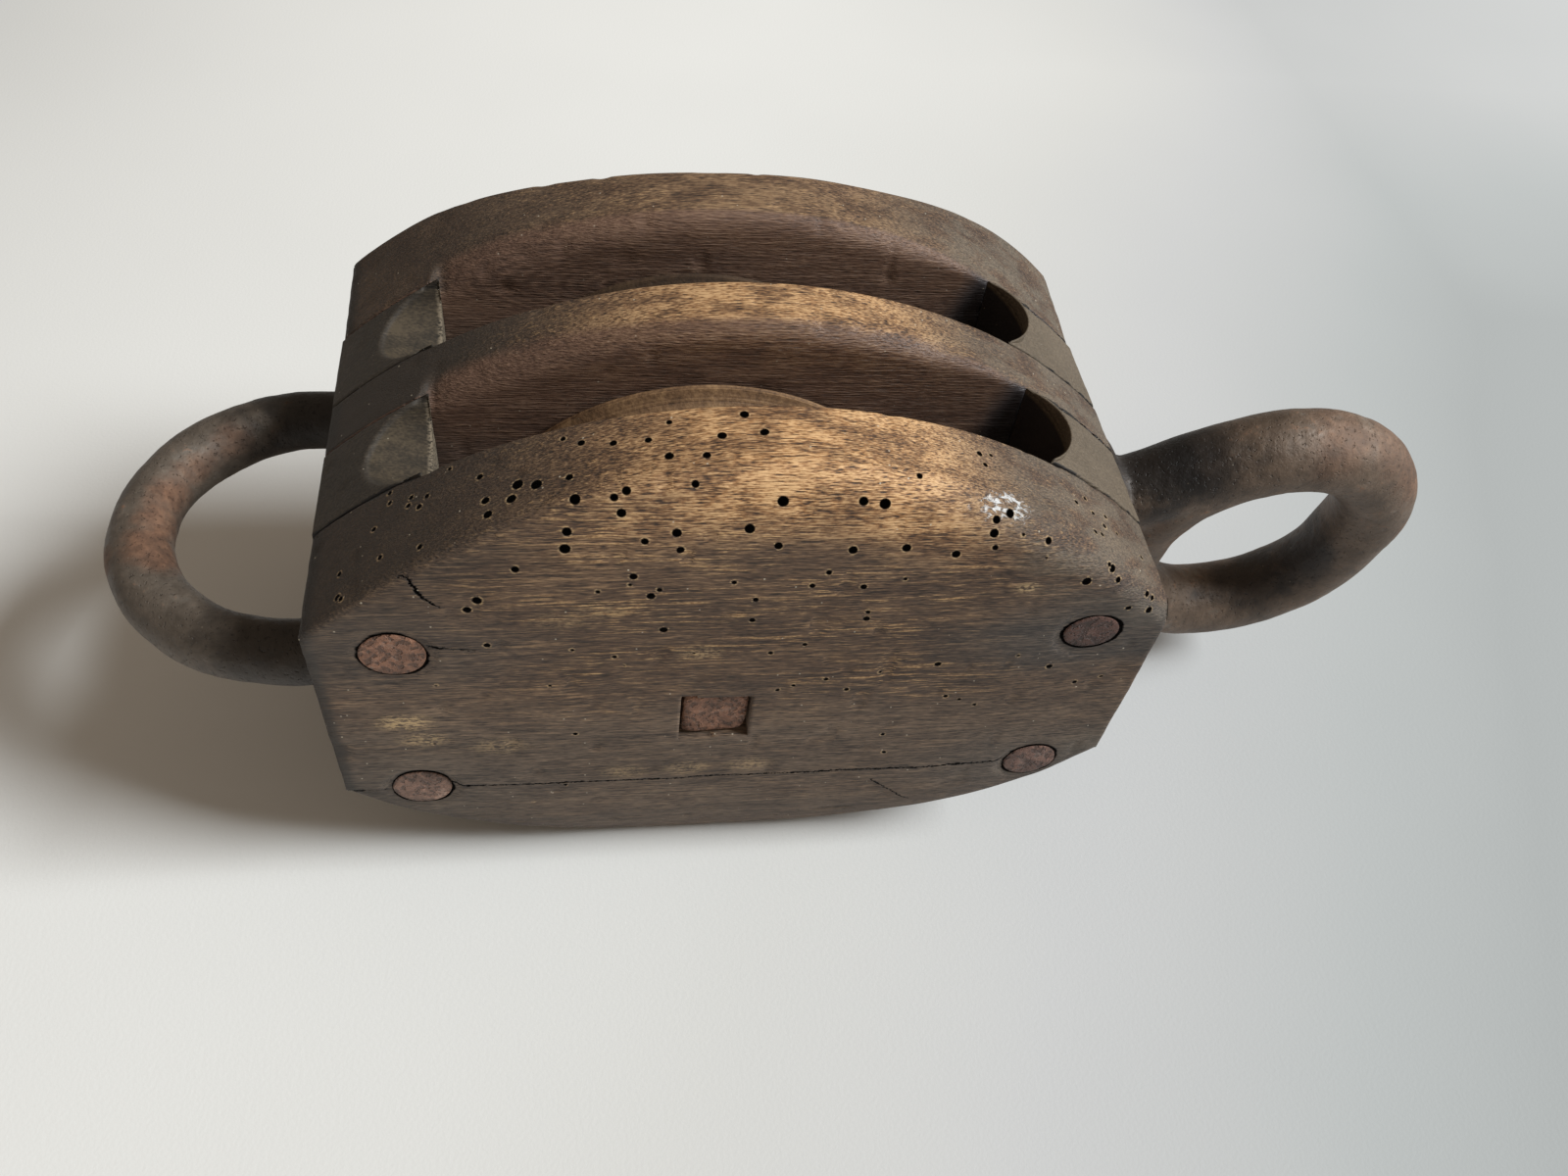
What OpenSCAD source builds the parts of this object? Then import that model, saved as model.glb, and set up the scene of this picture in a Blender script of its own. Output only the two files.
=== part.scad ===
// Double wooden pulley block: two sheaves turn on one pin in a riveted wooden shell.
// An iron eye is fast at the head and an iron becket loops out of the tail.
// It lies on a curved edge, slots upward: X runs from becket to eye, Y along the pin.
// X = 0 is halfway along the whole block, Y = 0 is the middle of the partition,
// and Z = 0 is the lowest point of the shell.

/* [Shell] */
// Length of the wooden shell
shell_length = 200; // [190:1:240]
// Height of the shell between its curved edges
shell_height = 148; // [142:1:180]
// Height of the flat ends
end_height = 67; // [60:1:80]
// Thickness of a cheek at its middle
cheek_thickness = 29.5; // [26:0.5:40]
// Thickness of a cheek at its curved rim
cheek_rim = 20; // [16:0.5:24]
// Height of the flat middle band of a cheek's outer face
flat_band = 70; // [66:1:90]
// Thickness of the partition between the slots
partition_thickness = 17; // [14.5:0.5:24]
// Width of a rope slot
slot_width = 26; // [22:0.5:34]
// Rounding of the worn rim on the rear side of each slot
rim_round = 6; // [2:0.5:7]
// Rounding of the upright corners of the shell
corner_round = 6; // [2:0.5:10]

/* [Slots] */
// Gap between a sheave and the tail wall of its slot
tail_gap = 5.5; // [1:0.5:7]
// Room for the rope between a sheave and the head wall of its slot
rope_room = 18; // [15:0.5:20]
// Depth of the round hollow in the head wall of a slot, at the shell's edge
swallow_depth = 8.5; // [3:0.5:9]
// Depth of the same hollow halfway down the slot
swallow_root = 1; // [0.5:0.5:2]
// Flat left on each side of a hollow or a scoop
hollow_land = 0.5; // [0.3:0.1:1.5]
// Reach of a rope scoop past the tail wall, at the shell's edge
scoop_reach = 15; // [8:0.5:18]
// Fall of a rope scoop's bottom from its mouth to the tail wall
scoop_fall = 5; // [2:0.5:12]

/* [Sheaves] */
// Diameter of a sheave
sheave_diameter = 120; // [104:1:122]
// Running gap on each side of a sheave
sheave_gap = 1; // [0.5:0.1:1.5]
// Diameter of the rope that the groove fits
rope_diameter = 22; // [12:0.5:23]
// Depth of the rope groove
groove_depth = 8; // [4:0.5:10]
// Depth of the shallow dish in each side of a sheave
dish_depth = 2; // [0.5:0.5:3]
// Width of the flat rim outside the dish
dish_rim = 14; // [11:0.5:20]

/* [Pin and coaks] */
// Distance of the pin from the middle of the shell, toward the tail
pin_setback = 8; // [6:0.5:9]
// Distance of the pin below the middle of the shell
pin_drop = 3; // [0:0.5:4]
// Diameter of the pin
pin_diameter = 16; // [12:0.5:20]
// Width of the pin's square end
pin_square = 16; // [12:0.5:20]
// Length of the pin's square end
pin_square_length = 12; // [6:0.5:14]
// Depth of the pin's ends below the outer faces
pin_sink = 1; // [0:0.5:2]
// Gap around the square end in its hole
square_gap = 0.7; // [0.2:0.1:1]
// Radial gap between pin and coak
pin_clearance = 0.06; // [0.02:0.01:0.1]
// Diameter of a coak's barrel
coak_diameter = 30; // [26:0.5:34]
// Diameter of a coak's flanges
coak_flange = 52; // [48:0.5:60]
// Thickness of a coak's flanges
coak_flange_thickness = 3; // [2:0.25:4]
// Number of rivets through a coak's flanges
coak_rivet_count = 4; // [3:1:6]
// Diameter of the rivets through a coak's flanges
coak_rivet_diameter = 5; // [3:0.5:6]

/* [Shell rivets] */
// Diameter of a rivet's shank
rivet_shank = 9; // [6:0.5:10]
// Diameter of a rivet's heads
rivet_head = 15; // [12:0.5:18]
// Thickness of a rivet's heads
rivet_head_thickness = 4; // [2:0.5:6]
// Distance of the tail rivets from the tail wall of the slots
tail_rivet_distance = 7.5; // [6:0.5:10]
// Distance of the head rivets from the head wall of the slots
head_rivet_distance = 11; // [11:0.5:13]
// Distance between the upper and the lower rivets
rivet_spacing = 58; // [52:1:62]

/* [Becket and strap] */
// Thickness of the becket's round bar
becket_bar = 17.5; // [12:0.5:20]
// Straight run of the becket's legs outside the shell
becket_leg = 10.5; // [4:0.5:30]
// Height of the becket above the line of the pin
becket_rise = 2; // [0:0.5:4]
// Height of the flat strap that runs through each cheek
strap_height = 30; // [26:1:34]
// Thickness of the flat strap
strap_thickness = 9; // [6:0.5:10]
// Depth of the strap below the wall of the slot
strap_sink = 2; // [1:0.5:4]
// Height of the strap's tenons in the crown
tenon_height = 20; // [12:1:24]
// Length of the tenons outside the crown, hammered over
tenon_proud = 1.5; // [0:0.5:3]

/* [Head eye] */
// Thickness of the crown plate on the head end
crown_thickness = 9; // [6:0.5:14]
// Height of the crown plate's arms
crown_height = 36; // [32:1:42]
// Wood left showing between the crown plate and the outer faces
crown_margin = 12; // [8:0.5:14]
// Diameter of the round boss in the middle of the crown
boss_diameter = 54; // [48:1:60]
// Thickness of the eye's round bar
eye_bar = 24; // [16:0.5:28]
// Bend radius of the eye, to the middle of the bar
eye_radius = 35.5; // [30:0.5:45]
// Straight run in each side of the eye
eye_straight = 10.5; // [4:0.5:20]
// Gap between the crown and the eye's bend, filled by its neck
eye_neck = 1.5; // [0.5:0.5:6]
// Distance of the eye's shoulders from its middle
shoulder_offset = 20; // [17:0.5:24]
// Growth of a shoulder's thickness from the bend to the crown, to each side of the bar's
shoulder_flare = 1.5; // [1:0.5:3]
// Distance of the eye below the line of the pin
eye_drop = 6; // [0:0.5:8]
// Lean of the eye from upright, its top toward the square end of the pin
eye_lean = 9; // [0:1:15]

/* [Hidden] */
$fn = 96;

// Slack beyond a cut's own surface, so that no face is left over
over = 1;
// Fit of iron in the wood and in other iron
fit_gap = 0.1;

// Curved edges: one arc from end to end of the shell
half_length = shell_length / 2;
arc_rise = (shell_height - end_height) / 2;
arc_radius = (half_length * half_length + arc_rise * arc_rise) / (2 * arc_rise);
arc_centre = arc_radius - shell_height / 2;
function edge_height(x) = sqrt(arc_radius * arc_radius - x * x) - arc_centre;

// Layers across the shell, as distances from its middle
partition_face = partition_thickness / 2;
slot_wall = partition_face + slot_width;
slot_middle = partition_face + slot_width / 2;
outer_face = slot_wall + cheek_thickness;

// Crown of a cheek's outer face, an arc that starts at the flat band
crown_run = (shell_height - flat_band) / 2;
crown_fall = cheek_thickness - cheek_rim;
crown_radius = (crown_run * crown_run + crown_fall * crown_fall) / (2 * crown_fall);

// Pin line
pin_x = -pin_setback;
pin_z = -pin_drop;
pin_hole = pin_diameter + 2 * fit_gap;

// Slots, along the shell: their end walls stand clear of the sheaves
sheave_radius = sheave_diameter / 2;
tail_wall = pin_x - sheave_radius - tail_gap;
head_wall = pin_x + sheave_radius + rope_room;
hollow_half = slot_width / 2 - hollow_land;
swallow_radius = (hollow_half * hollow_half + swallow_depth * swallow_depth) / (2 * swallow_depth);
swallow_lean = atan((swallow_depth - swallow_root) / edge_height(head_wall));
scoop_angle = atan(scoop_reach / scoop_fall);
// Half the length of the round bar that cuts a scoop, enough to pass the mouth and the tail wall
scoop_half = 2 * norm([scoop_reach, scoop_fall]);

// Sheaves and coaks
sheave_width = slot_width - 2 * sheave_gap;
groove_radius = rope_diameter / 2;
coak_rivet_ring = (coak_diameter + coak_flange) / 4;

// Strap and becket
strap_middle = slot_wall + strap_sink + strap_thickness / 2;
becket_z = pin_z + becket_rise;
becket_bend = -half_length - becket_leg;
becket_tip = becket_bend - strap_middle - becket_bar / 2;

// Head eye
crown_face = half_length + crown_thickness;
eye_x = crown_face + eye_neck + eye_bar / 2 + eye_radius;
eye_z = pin_z - eye_drop;
eye_tip = eye_x + eye_radius + eye_bar / 2;
shoulder_x = eye_x - crown_face + crown_thickness / 2;
shoulder_z = shoulder_offset - eye_straight / 2;
shoulder_distance = norm([shoulder_x, shoulder_z]);
shoulder_turn = 180 - atan(shoulder_z / shoulder_x) - acos(eye_radius / shoulder_distance);
shoulder_length = sqrt(shoulder_distance * shoulder_distance - eye_radius * eye_radius);

// Moves a piece from the middle of the shell to the frame of the whole block
module place() {
    translate([-(becket_tip + eye_tip) / 2, 0, shell_height / 2]) children();
}

// Turns a revolved or extruded piece so that its axis runs along the pin
module along_pin() {
    rotate([-90, 0, 0]) children();
}

// Waste outside a rounded corner at the origin, whose wood lies at negative X and Y
module corner_waste(radius) {
    difference() {
        translate([-radius, -radius]) square(radius + over);
        translate([-radius, -radius]) circle(radius);
    }
}

// Turns a profile of radius and Y about the middle of the upper edge's arc
module turned_edge() {
    translate([0, 0, -arc_centre]) along_pin() rotate_extrude() children();
}

// Solid between the two curved edges, from one Y to another
module lens(from_y, to_y) {
    intersection() {
        for_edge(0) translate([0, from_y]) square([arc_radius, to_y - from_y]);
        for_edge(1) translate([0, from_y]) square([arc_radius, to_y - from_y]);
    }
}

// The same profile turned for the upper edge (0) or the lower edge (1)
module for_edge(lower) {
    mirror([0, 0, lower]) turned_edge() children();
}

// Waste of the rounding along the upper and the lower rim of a slot; the wood lies at smaller Y
module rim_waste(rim_y) {
    intersection() {
        for (lower = [0, 1]) for_edge(lower) translate([arc_radius, rim_y]) corner_waste(rim_round);
        translate([tail_wall, rim_y - rim_round - over, -shell_height])
            cube([head_wall - tail_wall, rim_round + 2 * over, 2 * shell_height]);
    }
}

// Section of the rear cheek across the shell: flat outer band, then crowned to the rims
module cheek_section() {
    difference() {
        translate([slot_wall, -shell_height / 2]) square([cheek_thickness, shell_height]);
        for (side = [0, 1]) mirror([0, side]) difference() {
            translate([slot_wall, flat_band / 2]) square([cheek_thickness + over, shell_height]);
            translate([outer_face - crown_radius, flat_band / 2]) circle(crown_radius);
        }
    }
}

// Outline of the shell from above, with rounded corners
module plan_outline() {
    difference() {
        square([shell_length, 2 * outer_face], center = true);
        for (x_side = [0, 1], y_side = [0, 1])
            mirror([x_side, 0]) mirror([0, y_side])
                translate([half_length, outer_face]) corner_waste(corner_round);
    }
}

// One hole along the pin's direction, right through the shell
module through_hole(diameter, x, z) {
    translate([x, 0, z]) along_pin()
        cylinder(d = diameter, h = 2 * (outer_face + over), center = true);
}

// A rivet with a head let into each outer face, widened by a gap when it cuts its own hole
module rivet(gap) {
    for (side = [0, 1]) mirror([0, side, 0])
        translate([0, outer_face - rivet_head_thickness, 0]) along_pin()
            cylinder(d = rivet_head + 2 * gap, h = rivet_head_thickness + gap);
    along_pin()
        cylinder(d = rivet_shank + 2 * gap, h = 2 * outer_face - rivet_head_thickness, center = true);
}

// Places a rivet at one end (-1 tail, 1 head) and one level (-1 lower, 1 upper)
module at_rivet(end, level) {
    x = end < 0 ? tail_wall - tail_rivet_distance : head_wall + head_rivet_distance;
    translate([x, 0, pin_z + level * rivet_spacing / 2])
        children();
}

module rivet_holes() {
    for (end = [-1, 1], level = [-1, 1]) at_rivet(end, level) rivet(fit_gap);
}

// Room for the flat strap in the inner face of the rear cheek, along its whole length
module strap_score() {
    score_depth = strap_sink + strap_thickness + fit_gap;
    score_height = strap_height + 2 * fit_gap;
    translate([-half_length - over, slot_wall - over, pin_z - score_height / 2])
        cube([shell_length + 2 * over, score_depth + over, score_height]);
}

// A cheek, on the rear side; the front one is its mirror image
module cheek() {
    difference() {
        intersection() {
            lens(slot_wall, outer_face);
            rotate([90, 0, 90])
                linear_extrude(shell_length, center = true) cheek_section();
            linear_extrude(shell_height + over, center = true) plan_outline();
        }
        strap_score();
        rivet_holes();
        through_hole(pin_hole, pin_x, pin_z);
    }
}

module square_hole() {
    width = pin_square + 2 * square_gap;
    depth = pin_sink + pin_square_length;
    translate([pin_x - width / 2, -outer_face - over, pin_z - width / 2])
        cube([width, depth + over, width]);
}

// Filling between partition and rear cheek from one X to another
module spacer_block(from_x, to_x) {
    intersection() {
        lens(partition_face, slot_wall);
        translate([from_x, partition_face, -shell_height / 2])
            cube([to_x - from_x, slot_width, shell_height]);
    }
}

module scoop() {
    mouth_x = tail_wall - scoop_reach;
    translate([mouth_x, slot_middle, edge_height(mouth_x)])
        rotate([0, -scoop_angle, 0]) translate([hollow_half, 0, 0])
            cylinder(r = hollow_half, h = 2 * scoop_half, center = true);
}

module tail_spacer() {
    difference() {
        spacer_block(-half_length, tail_wall);
        for (side = [0, 1]) mirror([0, 0, side]) scoop();
        rivet_holes();
    }
}

module head_spacer() {
    difference() {
        spacer_block(head_wall, half_length);
        for (side = [0, 1]) mirror([0, 0, side])
            translate([head_wall + swallow_root - swallow_radius, slot_middle, 0])
                rotate([0, swallow_lean, 0]) cylinder(r = swallow_radius, h = shell_height);
        rivet_holes();
    }
}

module sheave_profile() {
    difference() {
        translate([0, -sheave_width / 2]) square([sheave_radius, sheave_width]);
        translate([sheave_radius - groove_depth + groove_radius, 0]) circle(groove_radius);
        for (side = [0, 1]) mirror([0, side])
            translate([coak_flange / 2, sheave_width / 2 - dish_depth])
                square([sheave_radius - dish_rim - coak_flange / 2, dish_depth + over]);
    }
}

// Solid of a coak; a gap widens it where it cuts the sheave
module coak_body(gap) {
    flange_radius = coak_flange / 2 + gap;
    cylinder(d = coak_diameter + 2 * gap, h = sheave_width, center = true);
    for (side = [0, 1]) mirror([0, 0, side])
        translate([0, 0, sheave_width / 2 - coak_flange_thickness])
            cylinder(r = flange_radius, h = coak_flange_thickness);
}

module coak_rivet_shanks(diameter) {
    for (turn = [0 : coak_rivet_count - 1])
        rotate(turn * 360 / coak_rivet_count) translate([coak_rivet_ring, 0, 0])
            cylinder(d = diameter, h = sheave_width, center = true);
}

// Puts a piece of a sheave into its slot (-1 front, 1 rear)
module in_slot(side) {
    translate([pin_x, side * slot_middle, pin_z]) along_pin() children();
}

module sheave(side) {
    in_slot(side) difference() {
        rotate_extrude() sheave_profile();
        coak_body(fit_gap);
        coak_rivet_shanks(coak_rivet_diameter + 2 * fit_gap);
    }
}

module coak(side) {
    in_slot(side) difference() {
        coak_body(0);
        cylinder(d = pin_diameter + 2 * pin_clearance, h = sheave_width + 2 * over, center = true);
        coak_rivet_shanks(coak_rivet_diameter + 2 * fit_gap);
    }
}

// Flat strap in the rear cheek, with the pin's hole and a tenon at the head
module strap_arm() {
    difference() {
        union() {
            translate([-half_length, strap_middle - strap_thickness / 2, pin_z - strap_height / 2])
                cube([shell_length, strap_thickness, strap_height]);
            translate([half_length - over, strap_middle - strap_thickness / 2, pin_z - tenon_height / 2])
                cube([over + crown_thickness + tenon_proud, strap_thickness, tenon_height]);
        }
        through_hole(pin_hole, pin_x, pin_z);
    }
}

module becket_leg_bar() {
    translate([becket_bend, strap_middle, becket_z]) rotate([0, 90, 0])
        cylinder(d = becket_bar, h = becket_leg);
}

module becket_bend_bar() {
    translate([becket_bend, 0, becket_z]) rotate(90)
        rotate_extrude(angle = 180) translate([strap_middle, 0]) circle(d = becket_bar);
}

// Plate across the head end, with a boss in the middle and holes for the tenons
module crown_plate() {
    reach = outer_face - crown_margin;
    difference() {
        union() {
            translate([half_length, -reach + crown_height / 2, pin_z - crown_height / 2])
                cube([crown_thickness, 2 * reach - crown_height, crown_height]);
            for (side = [-1, 1]) translate([half_length, side * (reach - crown_height / 2), pin_z])
                rotate([0, 90, 0]) cylinder(d = crown_height, h = crown_thickness);
            translate([half_length, 0, pin_z])
                rotate([0, 90, 0]) cylinder(d = boss_diameter, h = crown_thickness);
        }
        for (side = [-1, 1])
            translate([half_length + crown_thickness / 2, side * strap_middle, pin_z])
                cube([crown_thickness + 2 * over, strap_thickness + 2 * fit_gap,
                    tenon_height + 2 * fit_gap], center = true);
    }
}

// Half of the eye above its middle: bend, straight side and shoulder
module eye_half() {
    translate([0, 0, eye_straight / 2]) {
        rotate([90, 0, 0]) rotate_extrude(angle = 180)
            translate([eye_radius, 0]) circle(d = eye_bar);
        rotate([0, -shoulder_turn, 0]) translate([eye_radius, 0, 0])
            cylinder(d1 = eye_bar - shoulder_flare, d2 = eye_bar + shoulder_flare, h = shoulder_length);
    }
    for (side = [-1, 1]) translate([side * eye_radius, 0, 0])
        cylinder(d = eye_bar, h = eye_straight / 2);
}

module eye_ring() {
    for (side = [0, 1]) mirror([0, 0, side]) eye_half();
    translate([-shoulder_x, 0, 0]) rotate([0, 90, 0])
        cylinder(d = eye_bar, h = crown_thickness / 2 + eye_neck + eye_bar / 2);
}

module front_cheek() {
    color([0.37, 0.31, 0.26]) place() difference() {
        mirror([0, 1, 0]) cheek();
        square_hole();
    }
}

module rear_cheek() {
    color([0.35, 0.30, 0.25]) place() difference() {
        cheek();
        mirror([0, 1, 0]) rim_waste(-slot_wall);
    }
}

module partition() {
    color([0.42, 0.34, 0.26]) place() difference() {
        intersection() {
            lens(-partition_face, partition_face);
            cube([shell_length, partition_thickness, shell_height], center = true);
        }
        mirror([0, 1, 0]) rim_waste(partition_face);
        rivet_holes();
        through_hole(pin_hole, pin_x, pin_z);
    }
}

module tail_spacer_front() {
    color([0.40, 0.35, 0.29]) place() mirror([0, 1, 0]) tail_spacer();
}

module tail_spacer_rear() {
    color([0.40, 0.35, 0.29]) place() tail_spacer();
}

module head_spacer_front() {
    color([0.45, 0.40, 0.34]) place() mirror([0, 1, 0]) head_spacer();
}

module head_spacer_rear() {
    color([0.45, 0.40, 0.34]) place() head_spacer();
}

module front_sheave() {
    color([0.30, 0.23, 0.17]) place() sheave(-1);
}

module rear_sheave() {
    color([0.30, 0.23, 0.17]) place() sheave(1);
}

module front_coak() {
    color([0.55, 0.45, 0.25]) place() coak(-1);
}

module rear_coak() {
    color([0.55, 0.45, 0.25]) place() coak(1);
}

module front_coak_rivets() {
    color([0.60, 0.48, 0.28]) place() in_slot(-1) coak_rivet_shanks(coak_rivet_diameter);
}

module rear_coak_rivets() {
    color([0.60, 0.48, 0.28]) place() in_slot(1) coak_rivet_shanks(coak_rivet_diameter);
}

module centre_pin() {
    shank_start = -outer_face + pin_sink;
    color([0.32, 0.25, 0.20]) place() translate([pin_x, 0, pin_z]) {
        translate([0, shank_start, 0]) along_pin()
            cylinder(d = pin_diameter, h = 2 * (outer_face - pin_sink));
        translate([-pin_square / 2, shank_start, -pin_square / 2])
            cube([pin_square, pin_square_length, pin_square]);
    }
}

module tail_rivet_upper() {
    color([0.47, 0.31, 0.26]) place() at_rivet(-1, 1) rivet(0);
}

module tail_rivet_lower() {
    color([0.47, 0.31, 0.26]) place() at_rivet(-1, -1) rivet(0);
}

module head_rivet_upper() {
    color([0.47, 0.31, 0.26]) place() at_rivet(1, 1) rivet(0);
}

module head_rivet_lower() {
    color([0.47, 0.31, 0.26]) place() at_rivet(1, -1) rivet(0);
}

module becket_strap() {
    color([0.31, 0.26, 0.22]) place() {
        becket_bend_bar();
        for (side = [0, 1]) mirror([0, side, 0]) {
            becket_leg_bar();
            strap_arm();
        }
    }
}

module head_eye() {
    color([0.30, 0.24, 0.20]) place() {
        crown_plate();
        intersection() {
            translate([eye_x, 0, eye_z]) rotate([eye_lean, 0, 0]) eye_ring();
            translate([half_length, -shell_height, -shell_height])
                cube([eye_tip, 2 * shell_height, 2 * shell_height]);
        }
    }
}

front_cheek();
rear_cheek();
partition();
tail_spacer_front();
tail_spacer_rear();
head_spacer_front();
head_spacer_rear();
front_sheave();
rear_sheave();
front_coak();
rear_coak();
front_coak_rivets();
rear_coak_rivets();
centre_pin();
tail_rivet_upper();
tail_rivet_lower();
head_rivet_upper();
head_rivet_lower();
becket_strap();
head_eye();
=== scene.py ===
# %% [markdown]
# # An old double pulley block
#
# This is a ship's block of the old kind: a riveted wooden shell with two slots, a wooden
# sheave in each slot, an iron eye at one end and an iron loop, the becket, at the other.
# It has lain about for a long time, so its wood is grey, worn to gold where it was rubbed
# and bored by woodworm, and its iron is pitted and rusty.
#
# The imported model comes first. It is the frame: it says where every piece is, and the
# pieces made below keep to its sizes.

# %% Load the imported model
import math
from functools import reduce

import bpy
import numpy as np
from mathutils import Matrix, Vector


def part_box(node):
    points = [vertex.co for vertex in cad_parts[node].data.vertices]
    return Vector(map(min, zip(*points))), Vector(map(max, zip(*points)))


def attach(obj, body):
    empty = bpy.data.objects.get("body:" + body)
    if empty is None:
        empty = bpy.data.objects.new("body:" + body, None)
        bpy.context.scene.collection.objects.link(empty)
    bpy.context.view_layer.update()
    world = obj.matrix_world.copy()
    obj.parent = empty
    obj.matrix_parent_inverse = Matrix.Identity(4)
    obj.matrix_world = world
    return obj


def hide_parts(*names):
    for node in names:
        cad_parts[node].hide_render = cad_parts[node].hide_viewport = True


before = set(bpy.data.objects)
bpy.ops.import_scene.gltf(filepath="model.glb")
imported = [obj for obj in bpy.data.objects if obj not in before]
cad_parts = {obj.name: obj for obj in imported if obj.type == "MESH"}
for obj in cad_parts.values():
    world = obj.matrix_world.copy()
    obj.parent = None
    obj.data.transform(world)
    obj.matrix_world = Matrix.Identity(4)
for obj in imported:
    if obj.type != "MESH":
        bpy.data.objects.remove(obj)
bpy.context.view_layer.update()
print("nodes:", len(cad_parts))

# %% [markdown]
# ## Sizes
#
# All lengths are in metres. Most of them are read from the frame, so that a change of the
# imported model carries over. The few that a box can't tell are written here by name.

# %% Read the main sizes from the frame
MM = 0.001


def corners(node):
    """Lowest and highest corner of a node's box, as two arrays."""
    low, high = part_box(node)
    return np.array(low), np.array(high)


cheek_low, cheek_high = corners("front_cheek")
partition_high = corners("partition")[1]
pin_low, pin_high = corners("centre_pin")
sheave_low, sheave_high = corners("front_sheave")
becket_low, becket_high = corners("becket_strap")
eye_high = corners("head_eye")[1]

tail_end = cheek_low[0]
head_end = cheek_high[0]
middle_x = (tail_end + head_end) / 2
half_length = (head_end - tail_end) / 2
middle_z = (cheek_low[2] + cheek_high[2]) / 2
half_height = (cheek_high[2] - cheek_low[2]) / 2
outer_face = -cheek_low[1]
slot_wall = -cheek_high[1]
partition_face = partition_high[1]
slot_middle = (slot_wall + partition_face) / 2
tail_wall = corners("tail_spacer_front")[1][0]
head_wall = corners("head_spacer_front")[0][0]
pin_x = (pin_low[0] + pin_high[0]) / 2
pin_z = (pin_low[2] + pin_high[2]) / 2
sheave_radius = (sheave_high[2] - sheave_low[2]) / 2

END_HALF_HEIGHT = 33.5 * MM
FLAT_BAND_HALF = 35 * MM
CHEEK_RIM = 20 * MM
arc_rise = half_height - END_HALF_HEIGHT
arc_radius = (half_length ** 2 + arc_rise ** 2) / (2 * arc_rise)
arc_centre = arc_radius - half_height
print("shell", round(2 * half_length, 4), "by", round(2 * half_height, 4),
      "arc", round(arc_radius, 4))

# %% [markdown]
# ## Camera and light
#
# The camera stands where the photograph was taken: in front of the block, about 50 degrees
# above it and 35 cm away, with a short lens that makes the near cheek look larger. The
# numbers were found by matching the outlines of the rims, rivets and ends.
#
# The light is a plain soft studio: one wide lamp at the right and a little in front, about
# 43 degrees high, and a pale warm world that fills the shadows. Its place was read from the
# photograph's shadows: the block's own shadow lies to the left, and the tail end shades
# half of the becket. Lamp and world together are set so that a pale colour that faces up
# renders as it is written.

# %% Place the camera
PHOTO_WIDTH = 1600
FOCAL_PIXELS = 1267.6
SENSOR_WIDTH = 36.0
CAMERA_PLACE = Vector((pin_x - 31.1 * MM, -232.2 * MM, middle_z + 253.0 * MM))
LOOK_ALONG = Vector((0.15871, 0.62469, -0.76457))
DOWN_IN_VIEW = Vector((-0.02297, -0.77184, -0.63540))


def aim(place, forward, down):
    """Matrix of a camera at a place: its X is down cross forward, its Y up, its Z backward."""
    forward = forward.normalized()
    right = down.cross(forward).normalized()
    up = -forward.cross(right)
    turn = Matrix((right, up, -forward)).transposed()
    return Matrix.Translation(place) @ turn.to_4x4()


camera_data = bpy.data.cameras.new("photo_camera")
camera_data.sensor_width = SENSOR_WIDTH
camera_data.lens = FOCAL_PIXELS / PHOTO_WIDTH * SENSOR_WIDTH
camera_data.clip_start = 0.01
camera = bpy.data.objects.new("photo_camera", camera_data)
camera.matrix_world = aim(CAMERA_PLACE, LOOK_ALONG, DOWN_IN_VIEW)
bpy.context.scene.collection.objects.link(camera)
bpy.context.scene.camera = camera
print("camera at", [round(c, 3) for c in camera.location], "lens", round(camera_data.lens, 1))

# %% Hang the lamp and set the world


def soft_lamp(name, place, target, size, power, colour):
    """A square area lamp at a place, facing a target."""
    data = bpy.data.lights.new(name, "AREA")
    data.shape = "SQUARE"
    data.size = size
    data.energy = power
    data.color = colour
    lamp = bpy.data.objects.new(name, data)
    lamp.location = place
    lamp.rotation_euler = (Vector(target) - Vector(place)).to_track_quat("-Z", "Y").to_euler()
    bpy.context.scene.collection.objects.link(lamp)


LAMP_DISTANCE = 4.5
LAMP_HEIGHT = math.radians(43)
LAMP_TURN = math.radians(-14)
LAMP_POWER = 272.0
LAMP_SIZE = 1.56
LAMP_COLOUR = (0.945, 0.985, 1.0)
WORLD_STRENGTH = 0.27
WORLD_COLOUR = (0.92, 0.76, 0.60, 1.0)

block_middle = Vector((middle_x, 0.0, middle_z))
toward_lamp = Vector((math.cos(LAMP_HEIGHT) * math.cos(LAMP_TURN),
                      math.cos(LAMP_HEIGHT) * math.sin(LAMP_TURN), math.sin(LAMP_HEIGHT)))
soft_lamp("window", block_middle + toward_lamp * LAMP_DISTANCE, block_middle, LAMP_SIZE,
          LAMP_POWER, LAMP_COLOUR)

world = bpy.data.worlds.new("pale_room")
world.use_nodes = True
backdrop = world.node_tree.nodes["Background"]
backdrop.inputs["Color"].default_value = WORLD_COLOUR
backdrop.inputs["Strength"].default_value = WORLD_STRENGTH
bpy.context.scene.world = world
bpy.context.scene.view_settings.view_transform = "Standard"
print("lamps: 1, world strength", WORLD_STRENGTH)

# %% [markdown]
# ## Helpers for shapes
#
# Every wooden piece starts as a box whose six faces are grids, welded at the edges. The
# grid points are then moved: bent to the curved outline, rounded at the edges, pushed out
# of the rope hollows, and last roughened with noise. This keeps each mesh closed, and each
# feature is one line of array arithmetic. Cutting holes with booleans would give the same
# shapes, but leaves long thin faces that don't take the roughening well.
#
# The iron pieces are round, so they start as rings of points carried along a path.

# %% Box lattice


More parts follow.
